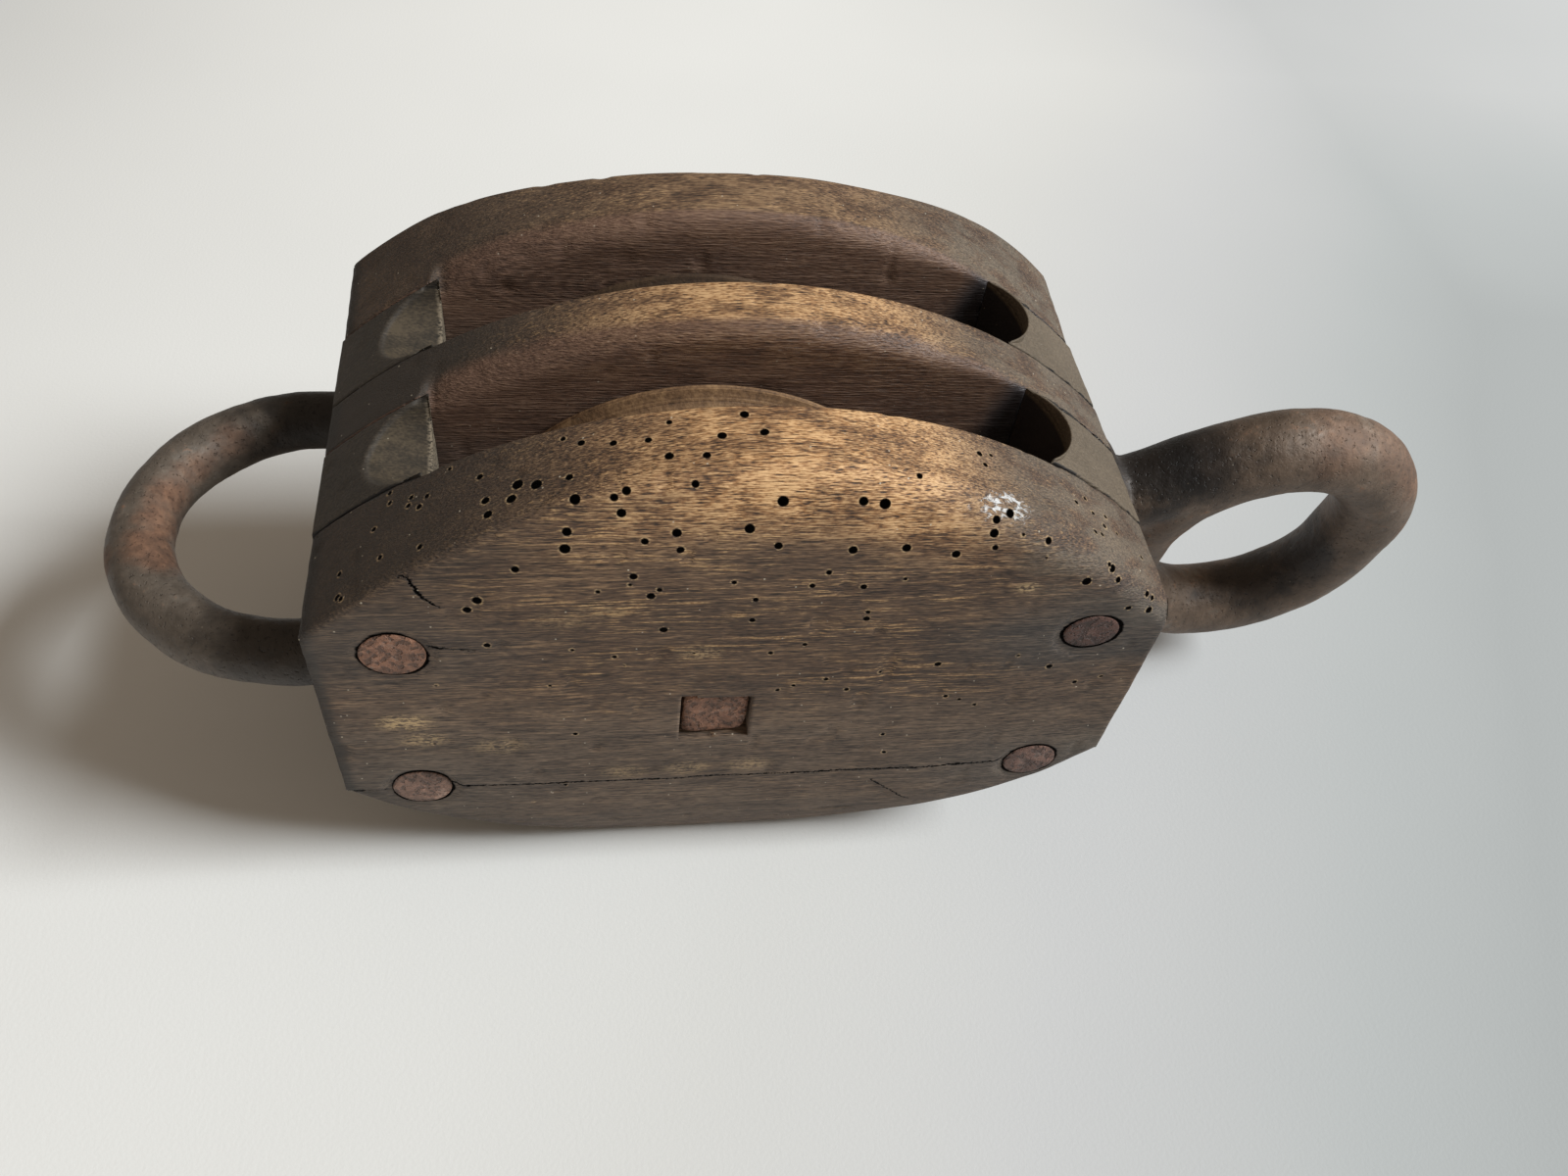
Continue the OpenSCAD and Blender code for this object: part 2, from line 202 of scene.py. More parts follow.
def box_lattice(lines_x, lines_y, lines_z):
    """Points and quads of a box surface ruled by three sets of lines.

    Each face is a grid of two of the three sets. A point belongs to the surface when it
    lies on the first or last line of at least one set, and is numbered once, so faces
    share the points along their edges.
    """
    count = (len(lines_x), len(lines_y), len(lines_z))
    on_surface = np.zeros(count, bool)
    for axis in range(3):
        ends = [slice(None)] * 3
        ends[axis] = [0, -1]
        on_surface[tuple(ends)] = True
    number = np.full(count, -1)
    number[on_surface] = np.arange(on_surface.sum())
    i, j, k = np.nonzero(on_surface)
    points = np.stack([lines_x[i], lines_y[j], lines_z[k]], axis=1)
    quads = []
    for axis in range(3):
        for end in (0, -1):
            grid = np.take(number, end, axis=axis)
            around = [grid[:-1, :-1], grid[1:, :-1], grid[1:, 1:], grid[:-1, 1:]]
            face = np.stack([corner.ravel() for corner in around], axis=1)
            outward = (end == -1) == (axis != 1)
            quads.append(face if outward else face[:, ::-1])
    return points, np.concatenate(quads)


def ruled(start, stop, step, extra=()):
    """Evenly spaced lines from start to stop, with extra lines added in their order."""
    count = max(2, int(round((stop - start) / step)) + 1)
    return np.unique(np.round(np.concatenate([np.linspace(start, stop, count), extra]), 7))


# %% Rings along a path


def face_outward(points, quads):
    """Turns all faces round if the volume they enclose counts as negative."""
    a, b, c, d = (points[quads[:, corner]] for corner in range(4))
    volume = (np.einsum("ij,ij->i", a, np.cross(b, c)).sum()
              + np.einsum("ij,ij->i", a, np.cross(c, d)).sum())
    return quads if volume > 0 else quads[:, ::-1]


def skin(rings, loop=False):
    """Points and quads of a tube through rings of points, an array of (ring, point, xyz).

    Neighbouring rings are joined point by point. In a loop the last ring meets the first.
    Otherwise each end is closed by a fan to the middle of its ring, and the fan's triangles
    are kept as quads that name their first corner twice.
    """
    many, around = rings.shape[:2]
    number = np.arange(many * around).reshape(many, around)
    ahead = np.roll(number, -1, axis=0) if loop else number[1:]
    behind = number if loop else number[:-1]
    beside = [np.roll(behind, -1, axis=1), np.roll(ahead, -1, axis=1)]
    quads = [np.stack([behind, beside[0], beside[1], ahead], axis=-1).reshape(-1, 4)]
    points = rings.reshape(-1, 3)
    if not loop:
        for ring, turn in ((number[0], 1), (number[-1], -1)):
            tip = np.full(around, len(points))
            points = np.concatenate([points, points[ring].mean(axis=0)[None]])
            quads.append(np.stack([tip, tip, np.roll(ring, -turn), ring], axis=-1))
    quads = np.concatenate(quads)
    return points, face_outward(points, quads)


def turned(radii, places, outline, axis_x, axis_z):
    """A closed piece on a line along Y: a ring at each place, of a radius and an outline.

    A ring's point stands from the line by its radius times the outline's value, which may
    change with the angle and from ring to ring.
    """
    angle = np.linspace(0, 2 * np.pi, outline.shape[1], endpoint=False)
    reach = np.array(radii)[:, None] * outline
    rings = np.stack([axis_x + reach * np.cos(angle),
                      np.repeat(np.array(places)[:, None], len(angle), axis=1),
                      axis_z + reach * np.sin(angle)], axis=-1)
    return skin(rings)


def rings_round(path, radii, across, flat, around):
    """Rings of points round a path, each spanned by its direction across and one flat one."""
    angle = np.linspace(0, 2 * np.pi, around, endpoint=False)[None, :, None]
    ring = np.cos(angle) * across[:, None] + np.sin(angle) * flat
    return path[:, None] + np.reshape(radii, (-1, 1, 1)) * ring


def tube(path, radii, around):
    """A closed round bar along a flat path, an array of points, with a radius at each."""
    along = np.gradient(path, axis=0)
    along /= np.linalg.norm(along, axis=1, keepdims=True)
    flat = np.linalg.svd(path - path.mean(axis=0), full_matrices=False)[2][2]
    return rings_round(path, radii, np.cross(along, flat), flat, around)


# %% Noise and normals
CELL_FACTORS = np.array([374761393, 668265263, 2147483647])
SEED_FACTOR = 974711
MIX_FACTOR = 1274126177


def lattice_value(cell, seed):
    """A repeatable number from 0 to 1 for each whole-number cell."""
    mixed = cell @ CELL_FACTORS + seed * SEED_FACTOR
    mixed = (mixed ^ (mixed >> 13)) * MIX_FACTOR
    return ((mixed ^ (mixed >> 16)) & 0xFFFF) / 65535.0


def smooth_noise(points, size, seed):
    """Value noise from 0 to 1: random values on a lattice of cells, eased between.

    size is the cells' length, or three lengths for cells that are longer along one axis.
    """
    place = points / np.array(size)
    cell = np.floor(place).astype(np.int64)
    part = place - cell
    ease = part * part * (3 - 2 * part)
    total = np.zeros(len(points))
    for corner in np.ndindex(2, 2, 2):
        weight = np.prod(np.where(corner, ease, 1 - ease), axis=1)
        total += weight * lattice_value(cell + np.array(corner), seed)
    return total


def vertex_normals(points, quads):
    """Unit normals: the sum of the crossed diagonals of the quads round each point."""
    cross = np.cross(points[quads[:, 2]] - points[quads[:, 0]],
                     points[quads[:, 3]] - points[quads[:, 1]])
    normals = np.zeros_like(points)
    for corner in range(4):
        np.add.at(normals, quads[:, corner], cross)
    return normals / np.maximum(np.linalg.norm(normals, axis=1, keepdims=True), 1e-12)


# %% Meshes


def make_mesh(name, points, quads):
    """A mesh of quads, where a quad that names a corner twice in a row is a triangle."""
    fan = quads[:, 0] == quads[:, 1]
    fan_end = quads[:, 2] == quads[:, 3]
    faces = (quads[~(fan | fan_end)].tolist() + quads[fan][:, 1:].tolist()
             + quads[fan_end][:, :3].tolist())
    mesh = bpy.data.meshes.new(name)
    mesh.from_pydata(points.tolist(), [], faces)
    mesh.polygons.foreach_set("use_smooth", np.ones(len(mesh.polygons), bool))
    return mesh


def read_values(items, name, each, kind=float):
    """One property of a collection as a flat array, with a number of values for each item."""
    values = np.empty(len(items) * each, kind)
    items.foreach_get(name, values)
    return values


def make_piece(name, points, quads, material, slot, *nodes):
    """Puts a mesh into the scene, riding on the shell and standing for the named nodes."""
    mesh = make_mesh(name, points, quads)
    mesh.materials.append(material)
    piece = bpy.data.objects.new(name, mesh)
    bpy.context.scene.collection.objects.link(piece)
    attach(piece, "shell")
    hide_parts(*nodes)
    print(name, len(points), "points", len(quads), "faces")
    return piece


def smoothstep(value, low, high):
    """0 below low, 1 above high, eased between."""
    part = np.clip((value - low) / (high - low), 0, 1)
    return part * part * (3 - 2 * part)


# %% Rounding and pushing


def eased(depth_a, depth_b, radius):
    """Rounds the edge between two faces, given each point's depth below both.

    Where both depths are less than the radius, the point belongs outside a quarter circle
    of that radius, and moves straight toward the circle's centre until it lies on it.
    """
    a = np.maximum(radius - depth_a, 0)
    b = np.maximum(radius - depth_b, 0)
    reach = np.hypot(a, b)
    scale = np.where((reach > radius) & (a > 0) & (b > 0), radius / np.maximum(reach, 1e-12), 1)
    new_a = np.where(a > 0, radius - a * scale, depth_a)
    new_b = np.where(b > 0, radius - b * scale, depth_b)
    return new_a, new_b


def push_out_of_bar(points, start, direction, radius):
    """Moves points inside an endless round bar straight out to its surface."""
    direction = np.array(direction) / np.linalg.norm(direction)
    offset = points - start
    offset = offset - np.outer(offset @ direction, direction)
    reach = np.linalg.norm(offset, axis=1, keepdims=True)
    outward = offset / np.maximum(reach, 1e-9) * radius
    return np.where(reach < radius, points + outward - offset, points)


def edge_height(x):
    """Height of the curved edge above the shell's middle, at a place along the shell."""
    return np.sqrt(arc_radius ** 2 - (x - middle_x) ** 2) - arc_centre


# %% [markdown]
# ## Helpers for materials
#
# A material is a network of nodes, and its arithmetic reads best as arithmetic. A Field
# wraps one socket and overloads the operators, so that `1 - stain * 0.5` adds the Math
# nodes it needs. A Paint holds one material and has one method that adds any other node.

# %% Field


class Field:
    """A number that varies over the surface: one socket, with arithmetic."""

    def __init__(self, paint, socket):
        self.paint = paint
        self.socket = socket

    def math(self, operation, *others, clamp=False):
        node = self.paint.add("ShaderNodeMath", {"operation": operation, "use_clamp": clamp},
                              dict(enumerate((self, *others))))
        return Field(self.paint, node.outputs[0])

    def __add__(self, other):
        return self.math("ADD", other)

    def __sub__(self, other):
        return self.math("SUBTRACT", other)

    def __rsub__(self, other):
        return self.math("MULTIPLY_ADD", -1.0, other)

    def __mul__(self, other):
        return self.math("MULTIPLY", other)

    def __truediv__(self, other):
        return self.math("DIVIDE", other)

    __radd__ = __add__
    __rmul__ = __mul__

    def clamped(self):
        return self.math("ADD", 0.0, clamp=True)

    def magnitude(self):
        return self.math("ABSOLUTE")

    def larger(self, other):
        return self.math("MAXIMUM", other)

    def smaller(self, other):
        return self.math("MINIMUM", other)

    def wave(self, length):
        """0 to 1 and back, once in each length of this."""
        return (self * (2 * math.pi / length)).math("SINE") * 0.5 + 0.5

    def step(self, low, high):
        """0 where this is below low, 1 above high, eased between; low may be the larger."""
        node = self.paint.add("ShaderNodeMapRange", {"interpolation_type": "SMOOTHSTEP"},
                              {"Value": self, "From Min": low, "From Max": high})
        return Field(self.paint, node.outputs["Result"])


# %% Paint


class Paint:
    """One material under construction, with the object's own coordinates ready."""

    def __init__(self, name):
        self.material = bpy.data.materials.new(name)
        self.material.use_nodes = True
        self.tree = self.material.node_tree
        self.tree.nodes.clear()
        coordinates = self.add("ShaderNodeTexCoord")
        self.place = coordinates.outputs["Object"]
        parts = self.add("ShaderNodeSeparateXYZ", {}, {"Vector": self.place})
        self.x, self.y, z = (Field(self, parts.outputs[axis]) for axis in "XYZ")
        facing = self.add("ShaderNodeSeparateXYZ", {}, {"Vector": coordinates.outputs["Normal"]})
        self.facing_y = Field(self, facing.outputs["Y"])
        self.along = self.x - middle_x
        self.height = z - middle_z

    def fill(self, socket, value):
        """Links a socket to a field or another socket, or sets it to a plain value."""
        if isinstance(value, Field):
            value = value.socket
        if isinstance(value, bpy.types.NodeSocket):
            self.tree.links.new(value, socket)
        elif socket.type == "RGBA":
            socket.default_value = (*value, 1.0)
        else:
            socket.default_value = value

    def add(self, kind, settings=None, inputs=None):
        """Adds a node: its settings first, then a value or a link for each named socket."""
        node = self.tree.nodes.new(kind)
        for name, value in (settings or {}).items():
            if name == "stops":
                self.set_stops(node, value)
            else:
                setattr(node, name, value)
        for name, value in (inputs or {}).items():
            self.fill(node.inputs[name], value)
        return node

    def vector_math(self, operation, *values):
        """Adds a node of vector arithmetic, its inputs in order."""
        return self.add("ShaderNodeVectorMath", {"operation": operation}, dict(enumerate(values)))

    def set_stops(self, node, stops):
        """Puts stops of (place, colour) on a colour ramp, which starts with two."""
        elements = node.color_ramp.elements
        while len(elements) < len(stops):
            elements.new(0.5)
        for element, (place, colour) in zip(elements, stops):
            element.position = place
            element.color = (*colour, 1.0)

    def noise(self, scale, detail=3.0, roughness=0.55, distortion=0.0, shift=0.0):
        """Cloudy noise around 0.5; scale is cells in a metre, one number or one for each axis."""
        scales = scale if isinstance(scale, tuple) else (scale, scale, scale)
        moved = self.vector_math("MULTIPLY_ADD", self.place, scales,
                                 (shift, shift * 1.7, shift * 2.3))
        node = self.add("ShaderNodeTexNoise", {"noise_dimensions": "3D"},
                        {"Vector": moved.outputs[0], "Scale": 1.0, "Detail": detail,
                         "Roughness": roughness, "Distortion": distortion})
        return Field(self, node.outputs["Fac"])

    def specks(self, size, radius, shift=0.0):
        """Small round dots at random places, about one in each cell of a size."""
        moved = self.vector_math("MULTIPLY_ADD", self.place, (1 / size,) * 3, (shift,) * 3)
        node = self.add("ShaderNodeTexVoronoi", {"voronoi_dimensions": "3D", "feature": "F1"},
                        {"Vector": moved.outputs[0], "Scale": 1.0})
        return Field(self, node.outputs["Distance"]).step(radius / size, radius / size * 0.4)

    def ramp(self, field, stops):
        """A colour that follows a field through stops of (place, colour)."""
        return self.add("ShaderNodeValToRGB", {"stops": stops}, {"Fac": field}).outputs["Color"]

    def mix(self, factor, under, over):
        """Lays one colour over another, as thickly as the factor says."""
        node = self.add("ShaderNodeMix", {"data_type": "RGBA", "clamp_factor": True},
                        {"Factor": factor})
        for name, value in (("A", under), ("B", over)):
            self.fill(next(s for s in node.inputs if s.name == name and s.type == "RGBA"), value)
        return next(s for s in node.outputs if s.type == "RGBA")

    def distance_to(self, centre, scale=(1.0, 1.0, 1.0)):
        """Distance in metres from a point or a vector socket, each axis counted by its scale."""
        away = self.vector_math("SUBTRACT", self.place, centre)
        scaled = self.vector_math("MULTIPLY", away.outputs[0], scale)
        return Field(self, self.vector_math("LENGTH", scaled.outputs[0]).outputs["Value"])

    def line(self, start, end, half_width, waver):
        """1 on a straight line seen from the front, given by its ends (along, height) in mm."""
        start, end = np.array(start) * MM, np.array(end) * MM
        length = np.linalg.norm(end - start)
        run = (end - start) / length
        right, up = self.along - start[0], self.height - start[1]
        along = right * run[0] + up * run[1]
        across = up * run[0] - right * run[1] + waver
        ends = (along.step(-2 * half_width, half_width)
                * along.step(length + 2 * half_width, length - half_width))
        return across.magnitude().step(half_width, half_width * 0.3) * ends

    def depth(self):
        """How far a point lies below the shell's curved edge."""
        node = self.add("ShaderNodeCombineXYZ", {},
                        {"X": self.along, "Z": self.height.magnitude() + arc_centre})
        reach = self.vector_math("LENGTH", node.outputs["Vector"])
        return arc_radius - Field(self, reach.outputs["Value"])

    def finish(self, colour, roughness, height, depth, metallic=0.0):
        """Ends the network with a surface and a bump, whose height 1 is depth metres."""
        bump = self.add("ShaderNodeBump", {},
                        {"Height": height, "Distance": depth, "Strength": 1.0})
        surface = self.add("ShaderNodeBsdfPrincipled", {},
                           {"Base Color": colour, "Roughness": roughness, "Metallic": metallic,
                            "Normal": bump.outputs["Normal"]})
        self.add("ShaderNodeOutputMaterial", {}, {"Surface": surface.outputs["BSDF"]})
        return self.material


# %% Largest and held fields, and screen colours


def largest(fields):
    """The largest of several fields at each point."""
    return reduce(Field.larger, fields)


def held(field, low, high):
    """A field kept between two limits."""
    return ((field - low) / (high - low)).clamped() * (high - low) + low


def rgb(red, green, blue):
    """A colour given as on a screen, 0 to 255, as the linear values that shaders use."""
    return tuple(((c / 255 + 0.055) / 1.055) ** 2.4 if c > 10 else c / 255 / 12.92
                 for c in (red, green, blue))


SEAM_BLACK = rgb(22, 17, 14)
HOLE_BLACK = rgb(9, 7, 6)

# %% [markdown]
# ## Floor
#
# A large plain sheet, slightly cloudy as paper is. Its brightness is painted light and shade:
# paler at the left, darker and greyer on the right. It is stage, not part of the object.

# %% Floor
PAPER_HALF = 3.0
PAPER_LIMITS_X = (-0.35, 0.35)
PAPER_LIMITS_Y = (-0.20, 0.40)
PAINTED_PAPER_LIGHT = (213.5, -111.9, 45.9, -235.0, 221.2, -15.5)
PAPER_TONES = [(164, 168, 169), (176, 180, 181), (188, 190, 191), (198, 199, 200),
               (212, 212, 210), (221, 221, 219), (232, 232, 230)]
RAMP_LOW = 140
RAMP_SPAN = 100


def paper_material():
    """Pale paper whose brightness, 0 to 255, changes slowly with the place, as painted light and
    shade.

    The brightness is a first number plus the others times x, y, x squared, x times y and
    y squared, with the place held within limits, and faint clouds are added to it.
    """
    paint = Paint("pale_paper")
    x, y = held(paint.x, *PAPER_LIMITS_X), held(paint.y, *PAPER_LIMITS_Y)
    first, by_x, by_y, by_xx, by_xy, by_yy = PAINTED_PAPER_LIGHT
    # painted light and shade: a smooth curve of brightness over the floor
    level = first + x * by_x + y * by_y + x * x * by_xx + x * y * by_xy + y * y * by_yy
    clouds = paint.noise(6.0, detail=2.0) * 8.0 - 4.0
    colour = paint.ramp((level + clouds - RAMP_LOW) / RAMP_SPAN,
                        [((green - RAMP_LOW) / RAMP_SPAN, rgb(red, green, blue))
                         for red, green, blue in PAPER_TONES])
    return paint.finish(colour, 0.9, paint.noise(900.0, detail=2.0), 0.00005)


def floor_sheet():
    """A flat square of 6 m at the level of the object's lowest point."""
    mesh = bpy.data.meshes.new("paper_floor")
    mesh.from_pydata([(x * PAPER_HALF, y * PAPER_HALF, 0)
                      for x, y in ((-1, -1), (1, -1), (1, 1), (-1, 1))], [], [(0, 1, 2, 3)])
    mesh.materials.append(paper_material())
    sheet = bpy.data.objects.new("paper_floor", mesh)
    bpy.context.scene.collection.objects.link(sheet)


floor_sheet()

# %% [markdown]
# ## Weathered wood
#
# Old elm that has lain about: brown, grey where the weather bleached it and golden in fine
# broken streaks where rope and hands rubbed the grey away. The grain runs along the block,
# so all noises are stretched along X. Iron salts stain the wood black round the rivets.
# A photograph of wood would bring its own light and would slide over the curved edges.
# Worked out in the object's own space, the grain runs through each plank as in a real one.
#
# The first cell makes what all the wood shares. `gold` and `grey` say how far each plank goes
# toward rubbed and bleached wood, and the third amount how dark the rims' painted shade is.

# %% Wood grain shared by all planks


class Grain:
    """The layers of one plank's figure, from wide bands down to single pores."""

    def __init__(self, paint, seed):
        self.bands = paint.noise((7.0, 60.0, 60.0), detail=3.0, distortion=0.3, shift=seed)
        self.streaks = paint.noise((46.0, 1250.0, 1250.0), roughness=0.6, shift=seed + 1)
        self.fibres = paint.noise((130.0, 2600.0, 2600.0), detail=2.0, roughness=0.6,
                                  shift=seed + 2)
        self.pores = paint.noise((420.0, 3400.0, 3400.0), detail=1.0, shift=seed + 7)
        self.blotches = paint.noise((70.0, 150.0, 150.0), detail=4.0, roughness=0.6,
                                    shift=seed + 3)
        self.speckle = paint.noise((1000.0, 2000.0, 2000.0), detail=2.0, shift=seed + 4)
        self.tone = (self.bands * 0.14 + self.streaks * 0.20 + self.fibres * 0.26
                     + self.pores * 0.26 + self.blotches * 0.14)


# %% Rivet stains, gaps and seams
STAIN_STRENGTHS = [0.45, 0.45, 0.9, 0.7]
HEAD_FLATNESS = [1.0, 1.0, 0.82, 0.96]
rivet_nodes = ["tail_rivet_upper", "tail_rivet_lower", "head_rivet_upper", "head_rivet_lower"]
rivet_places = [tuple(sum(corners(node)) / 2) for node in rivet_nodes]
rivet_low, rivet_high = corners(rivet_nodes[0])
rivet_head_radius = (rivet_high[0] - rivet_low[0]) / 2
print("rivet head radius", round(rivet_head_radius, 5))


def rivet_stain(paint, grain):
    """Blue-black at a rivet, drawn out along the grain, with a ragged edge."""
    ragged = (grain.bands + grain.blotches) * 0.010
    return largest((paint.distance_to(place, (0.45, 0.0, 1.0)) + ragged).step(0.032, 0.015)
                   * strength for place, strength in zip(rivet_places, STAIN_STRENGTHS))


def rivet_gap(paint, ragged):
    """1 in the dark gap round each rivet head, which is a few tenths of a millimetre wide."""
    reach = ragged.step(0.40, 0.62) * 0.0007 + rivet_head_radius
    return largest((paint.distance_to(place, (1.0, 0.0, 1 / flatness)) - reach)
                   .step(0.0001, -0.0003) for place, flatness in zip(rivet_places, HEAD_FLATNESS))


def seam_line(paint, ragged):
    """1 in the dark seams between the planks, which lie open only outside the slots."""
    across = paint.y.magnitude()
    away = (across - slot_wall).magnitude().smaller((across - partition_face).magnitude())
    outside = (paint.x.step(head_wall, head_wall + 0.001)
               .larger(paint.x.step(tail_wall, tail_wall - 0.001)))
    faint = (paint.x.step(head_wall, tail_wall)
             * (paint.y * -1).step(slot_wall - 0.002, partition_face + 0.004))
    open_seam = (away - ragged.step(0.42, 0.60) * 0.0008).step(0.00025, -0.0001)
    return open_seam * outside * (1 - faint * 0.65)


# %% [markdown]
# ## Marks on the front cheek
#
# The front cheek shows its whole history: a crack along the grain low down, from end to
# end through the lower rivets, a short branching crack on the upper left shoulder, a white
# glossy smear, and pale scuffs. They are lines and spots, so that each mark is one
# row of numbers: along and height in mm from the middle, then half width, or radius and
# strength.
#
# The woodworm holes are round and clean, so they must stay sharp at any distance. Each face
# of the mesh carries the middle and radius of the hole nearest to it, and the shader
# measures the distance to that middle: the round edge is exact, though the mesh is coarser.

# %% Front marks

CRACK_LINES = [
    ((-100.0, -32.9), (-90.0, -32.3), 0.30), ((-80.0, -30.3), (-40.0, -30.5), 0.36),
    ((-40.0, -30.5), (20.0, -31.1), 0.26), ((20.0, -31.1), (72.0, -30.6), 0.34),
    ((-73.0, 28.6), (-63.5, 27.2), 0.35), ((-78.5, 51.2), (-74.6, 50.4), 0.26),
    ((-74.9, 50.4), (-72.4, 45.0), 0.44), ((-72.7, 45.6), (-69.6, 42.4), 0.28),
    ((36.6, -36.4), (49.5, -50.0), 0.22),
]
CRACK_WIDENING = 1.3
PALE_SPOTS = [((-81.5, -0.5), 6.5, 1.0), ((-78.0, -8.0), 6.0, 0.6), ((-60.0, -12.0), 7.0, 0.35),
              ((60.0, 44.0), 3.2, 0.7), ((-13.0, 24.0), 5.0, 0.55), ((-56.0, 61.0), 4.0, 0.25),
              ((-30.0, -26.5), 6.0, 0.35), ((-14.0, -26.0), 6.0, 0.4), ((2.0, -26.0), 6.0, 0.35),
              ((-45.0, 37.0), 6.0, 0.2), ((-36.0, 40.0), 6.0, 0.2)]
WHITE_SMEAR = (middle_x + 53.0 * MM, -55.5 * MM, middle_z + 63.6 * MM)


def front_cracks(paint, grain):
    """1 in the cracks, which waver a little across the grain."""
    waver = (grain.blotches - 0.5) * 0.0020 + (grain.speckle - 0.5) * 0.0016
    cracks = largest(paint.line(start, end, half_width * MM * CRACK_WIDENING, waver)
                     for start, end, half_width in CRACK_LINES)
    return cracks * grain.blotches.step(0.30, 0.42) * (paint.facing_y * -1).step(0.55, 0.75)


def pale_spot(paint, along, height, radius):
    """1 in the middle of a soft spot on the outer face, a little longer along the grain."""
    centre = (middle_x + along * MM, -outer_face, middle_z + height * MM)
    return paint.distance_to(centre, (0.7, 0.8, 1.3)).step(radius * MM, radius * MM * 0.2)


def pale_spots(paint, grain):
    """1 in the scuffs, broken up by the fibres."""
    spots = largest(pale_spot(paint, *place, radius) * strength
                    for place, radius, strength in PALE_SPOTS)
    return spots * (grain.fibres * 0.5 + grain.speckle * 0.5).step(0.45, 0.56)


def white_smear(paint):
    """1 in the flakes of the white glossy smear on the right shoulder."""
    near = paint.distance_to(WHITE_SMEAR, (0.5, 1.2, 1.2)).step(9.0 * MM, 1.5 * MM)
    flakes = paint.noise((380.0, 800.0, 800.0), detail=3.0, distortion=1.0, shift=5.0)
    return (near * 0.38 + flakes - 0.40).step(0.38, 0.54) * near


# %% Worm holes


def hole_mask(paint):
    """1 in a worm hole and 1 on the pale crumbly lip round it, from the face's nearest hole."""
    middle = paint.add("ShaderNodeAttribute", {"attribute_name": "hole_middle"})
    size = paint.add("ShaderNodeAttribute", {"attribute_name": "hole_radius"})
    radius = Field(paint, size.outputs["Fac"])
    away = paint.distance_to(middle.outputs["Vector"]) - radius
    bored = radius.step(0.0001, 0.0003)
    inside = away.step(0.00012, -0.00012) * bored
    lip = away.step(0.0006, 0.0001) * bored * (1 - inside)
    return inside, lip


# %% [markdown]
# ## Layers of the planks' colour
#
# The planks share one recipe, laid layer over layer: brown wood, gold where it was rubbed,
# grey and dirt, the polished walls of the slots. Each layer is a mask, which says where it
# lies, and a ramp of tones, which a mixture of the grain's noises runs through.

# %% Tones of the planks
BROWN_TONES = [(0.40, rgb(40, 28, 21)), (0.47, rgb(73, 55, 42)),
               (0.53, rgb(98, 75, 57)), (0.60, rgb(134, 107, 81))]
DULL_TONES = [(0.41, rgb(70, 60, 51)), (0.59, rgb(126, 111, 97))]
GILDED_TONES = [(0.40, rgb(150, 112, 72)), (0.62, rgb(216, 176, 122))]
CREST_TONES = [(0.42, rgb(84, 56, 34)), (0.49, rgb(174, 124, 76)), (0.56, rgb(238, 192, 138))]
GREY_SHEEN_TONES = [(0.42, rgb(74, 66, 56)), (0.60, rgb(120, 109, 94))]
WALL_TONES = [(0.39, rgb(65, 47, 37)), (0.50, rgb(97, 71, 57)), (0.61, rgb(125, 97, 80))]
RINGED_WALL_TONES = [(0.39, rgb(74, 54, 44)), (0.50, rgb(109, 82, 67)), (0.61, rgb(137, 108, 90))]
STAIN_TONES = [(0.42, rgb(50, 47, 46)), (0.60, rgb(98, 91, 84))]

# %% Layers of brown, gold and grey


def bare_wood(paint, grain, on_side):
    """The brown of the planks, duller low down and toward the tail on the upright faces."""
    low, tailward = paint.height.step(0.020, -0.015), paint.along.step(-0.050, -0.085)
    dull = (low * 0.60 + tailward * 0.20) * on_side
    return paint.mix(dull * (grain.blotches * 0.6 + 0.55), paint.ramp(grain.tone, BROWN_TONES),
                     paint.ramp(grain.tone, DULL_TONES))


def gilded_dashes(paint, grain, seed, gold):
    """Gold in broken dashes along the grain, most of it above the middle of the plank."""
    middle = paint.along.step(-0.082, -0.035) * paint.along.step(0.085, 0.035)
    band = paint.height.step(-0.012, 0.018) * (1 - paint.height.step(0.040, 0.066) * 0.35)
    patchy = paint.noise((20.0, 110.0, 110.0), detail=3.0, shift=seed + 6).step(0.42, 0.58)
    dashes = (grain.fibres * 0.42 + grain.streaks * 0.46 + grain.pores * 0.12).step(0.540, 0.580)
    return (middle * band * 0.62 + 0.08) * dashes * (patchy * 0.8 + 0.2) * (0.35 + 0.65 * gold)


def rubbed_crest(paint, grain, depth, gold):
    """The band below the upper rim that hands have rubbed to gold."""
    handled = (paint.along.step(-0.062, 0.004) * paint.along.step(0.064, 0.030)
               * paint.height.step(-0.02, 0.02))
    patches = grain.blotches.step(0.42, 0.56) * 0.4 + 0.6
    return handled * depth.step(0.019, 0.006) * patches * gold


def crest_colour(paint, grain):
    """Gold with dark pores, for the rubbed crest."""
    mottle = (grain.pores * 0.35 + grain.fibres * 0.25 + grain.speckle * 0.15
              + grain.blotches * 0.25)
    return paint.ramp(mottle, CREST_TONES)


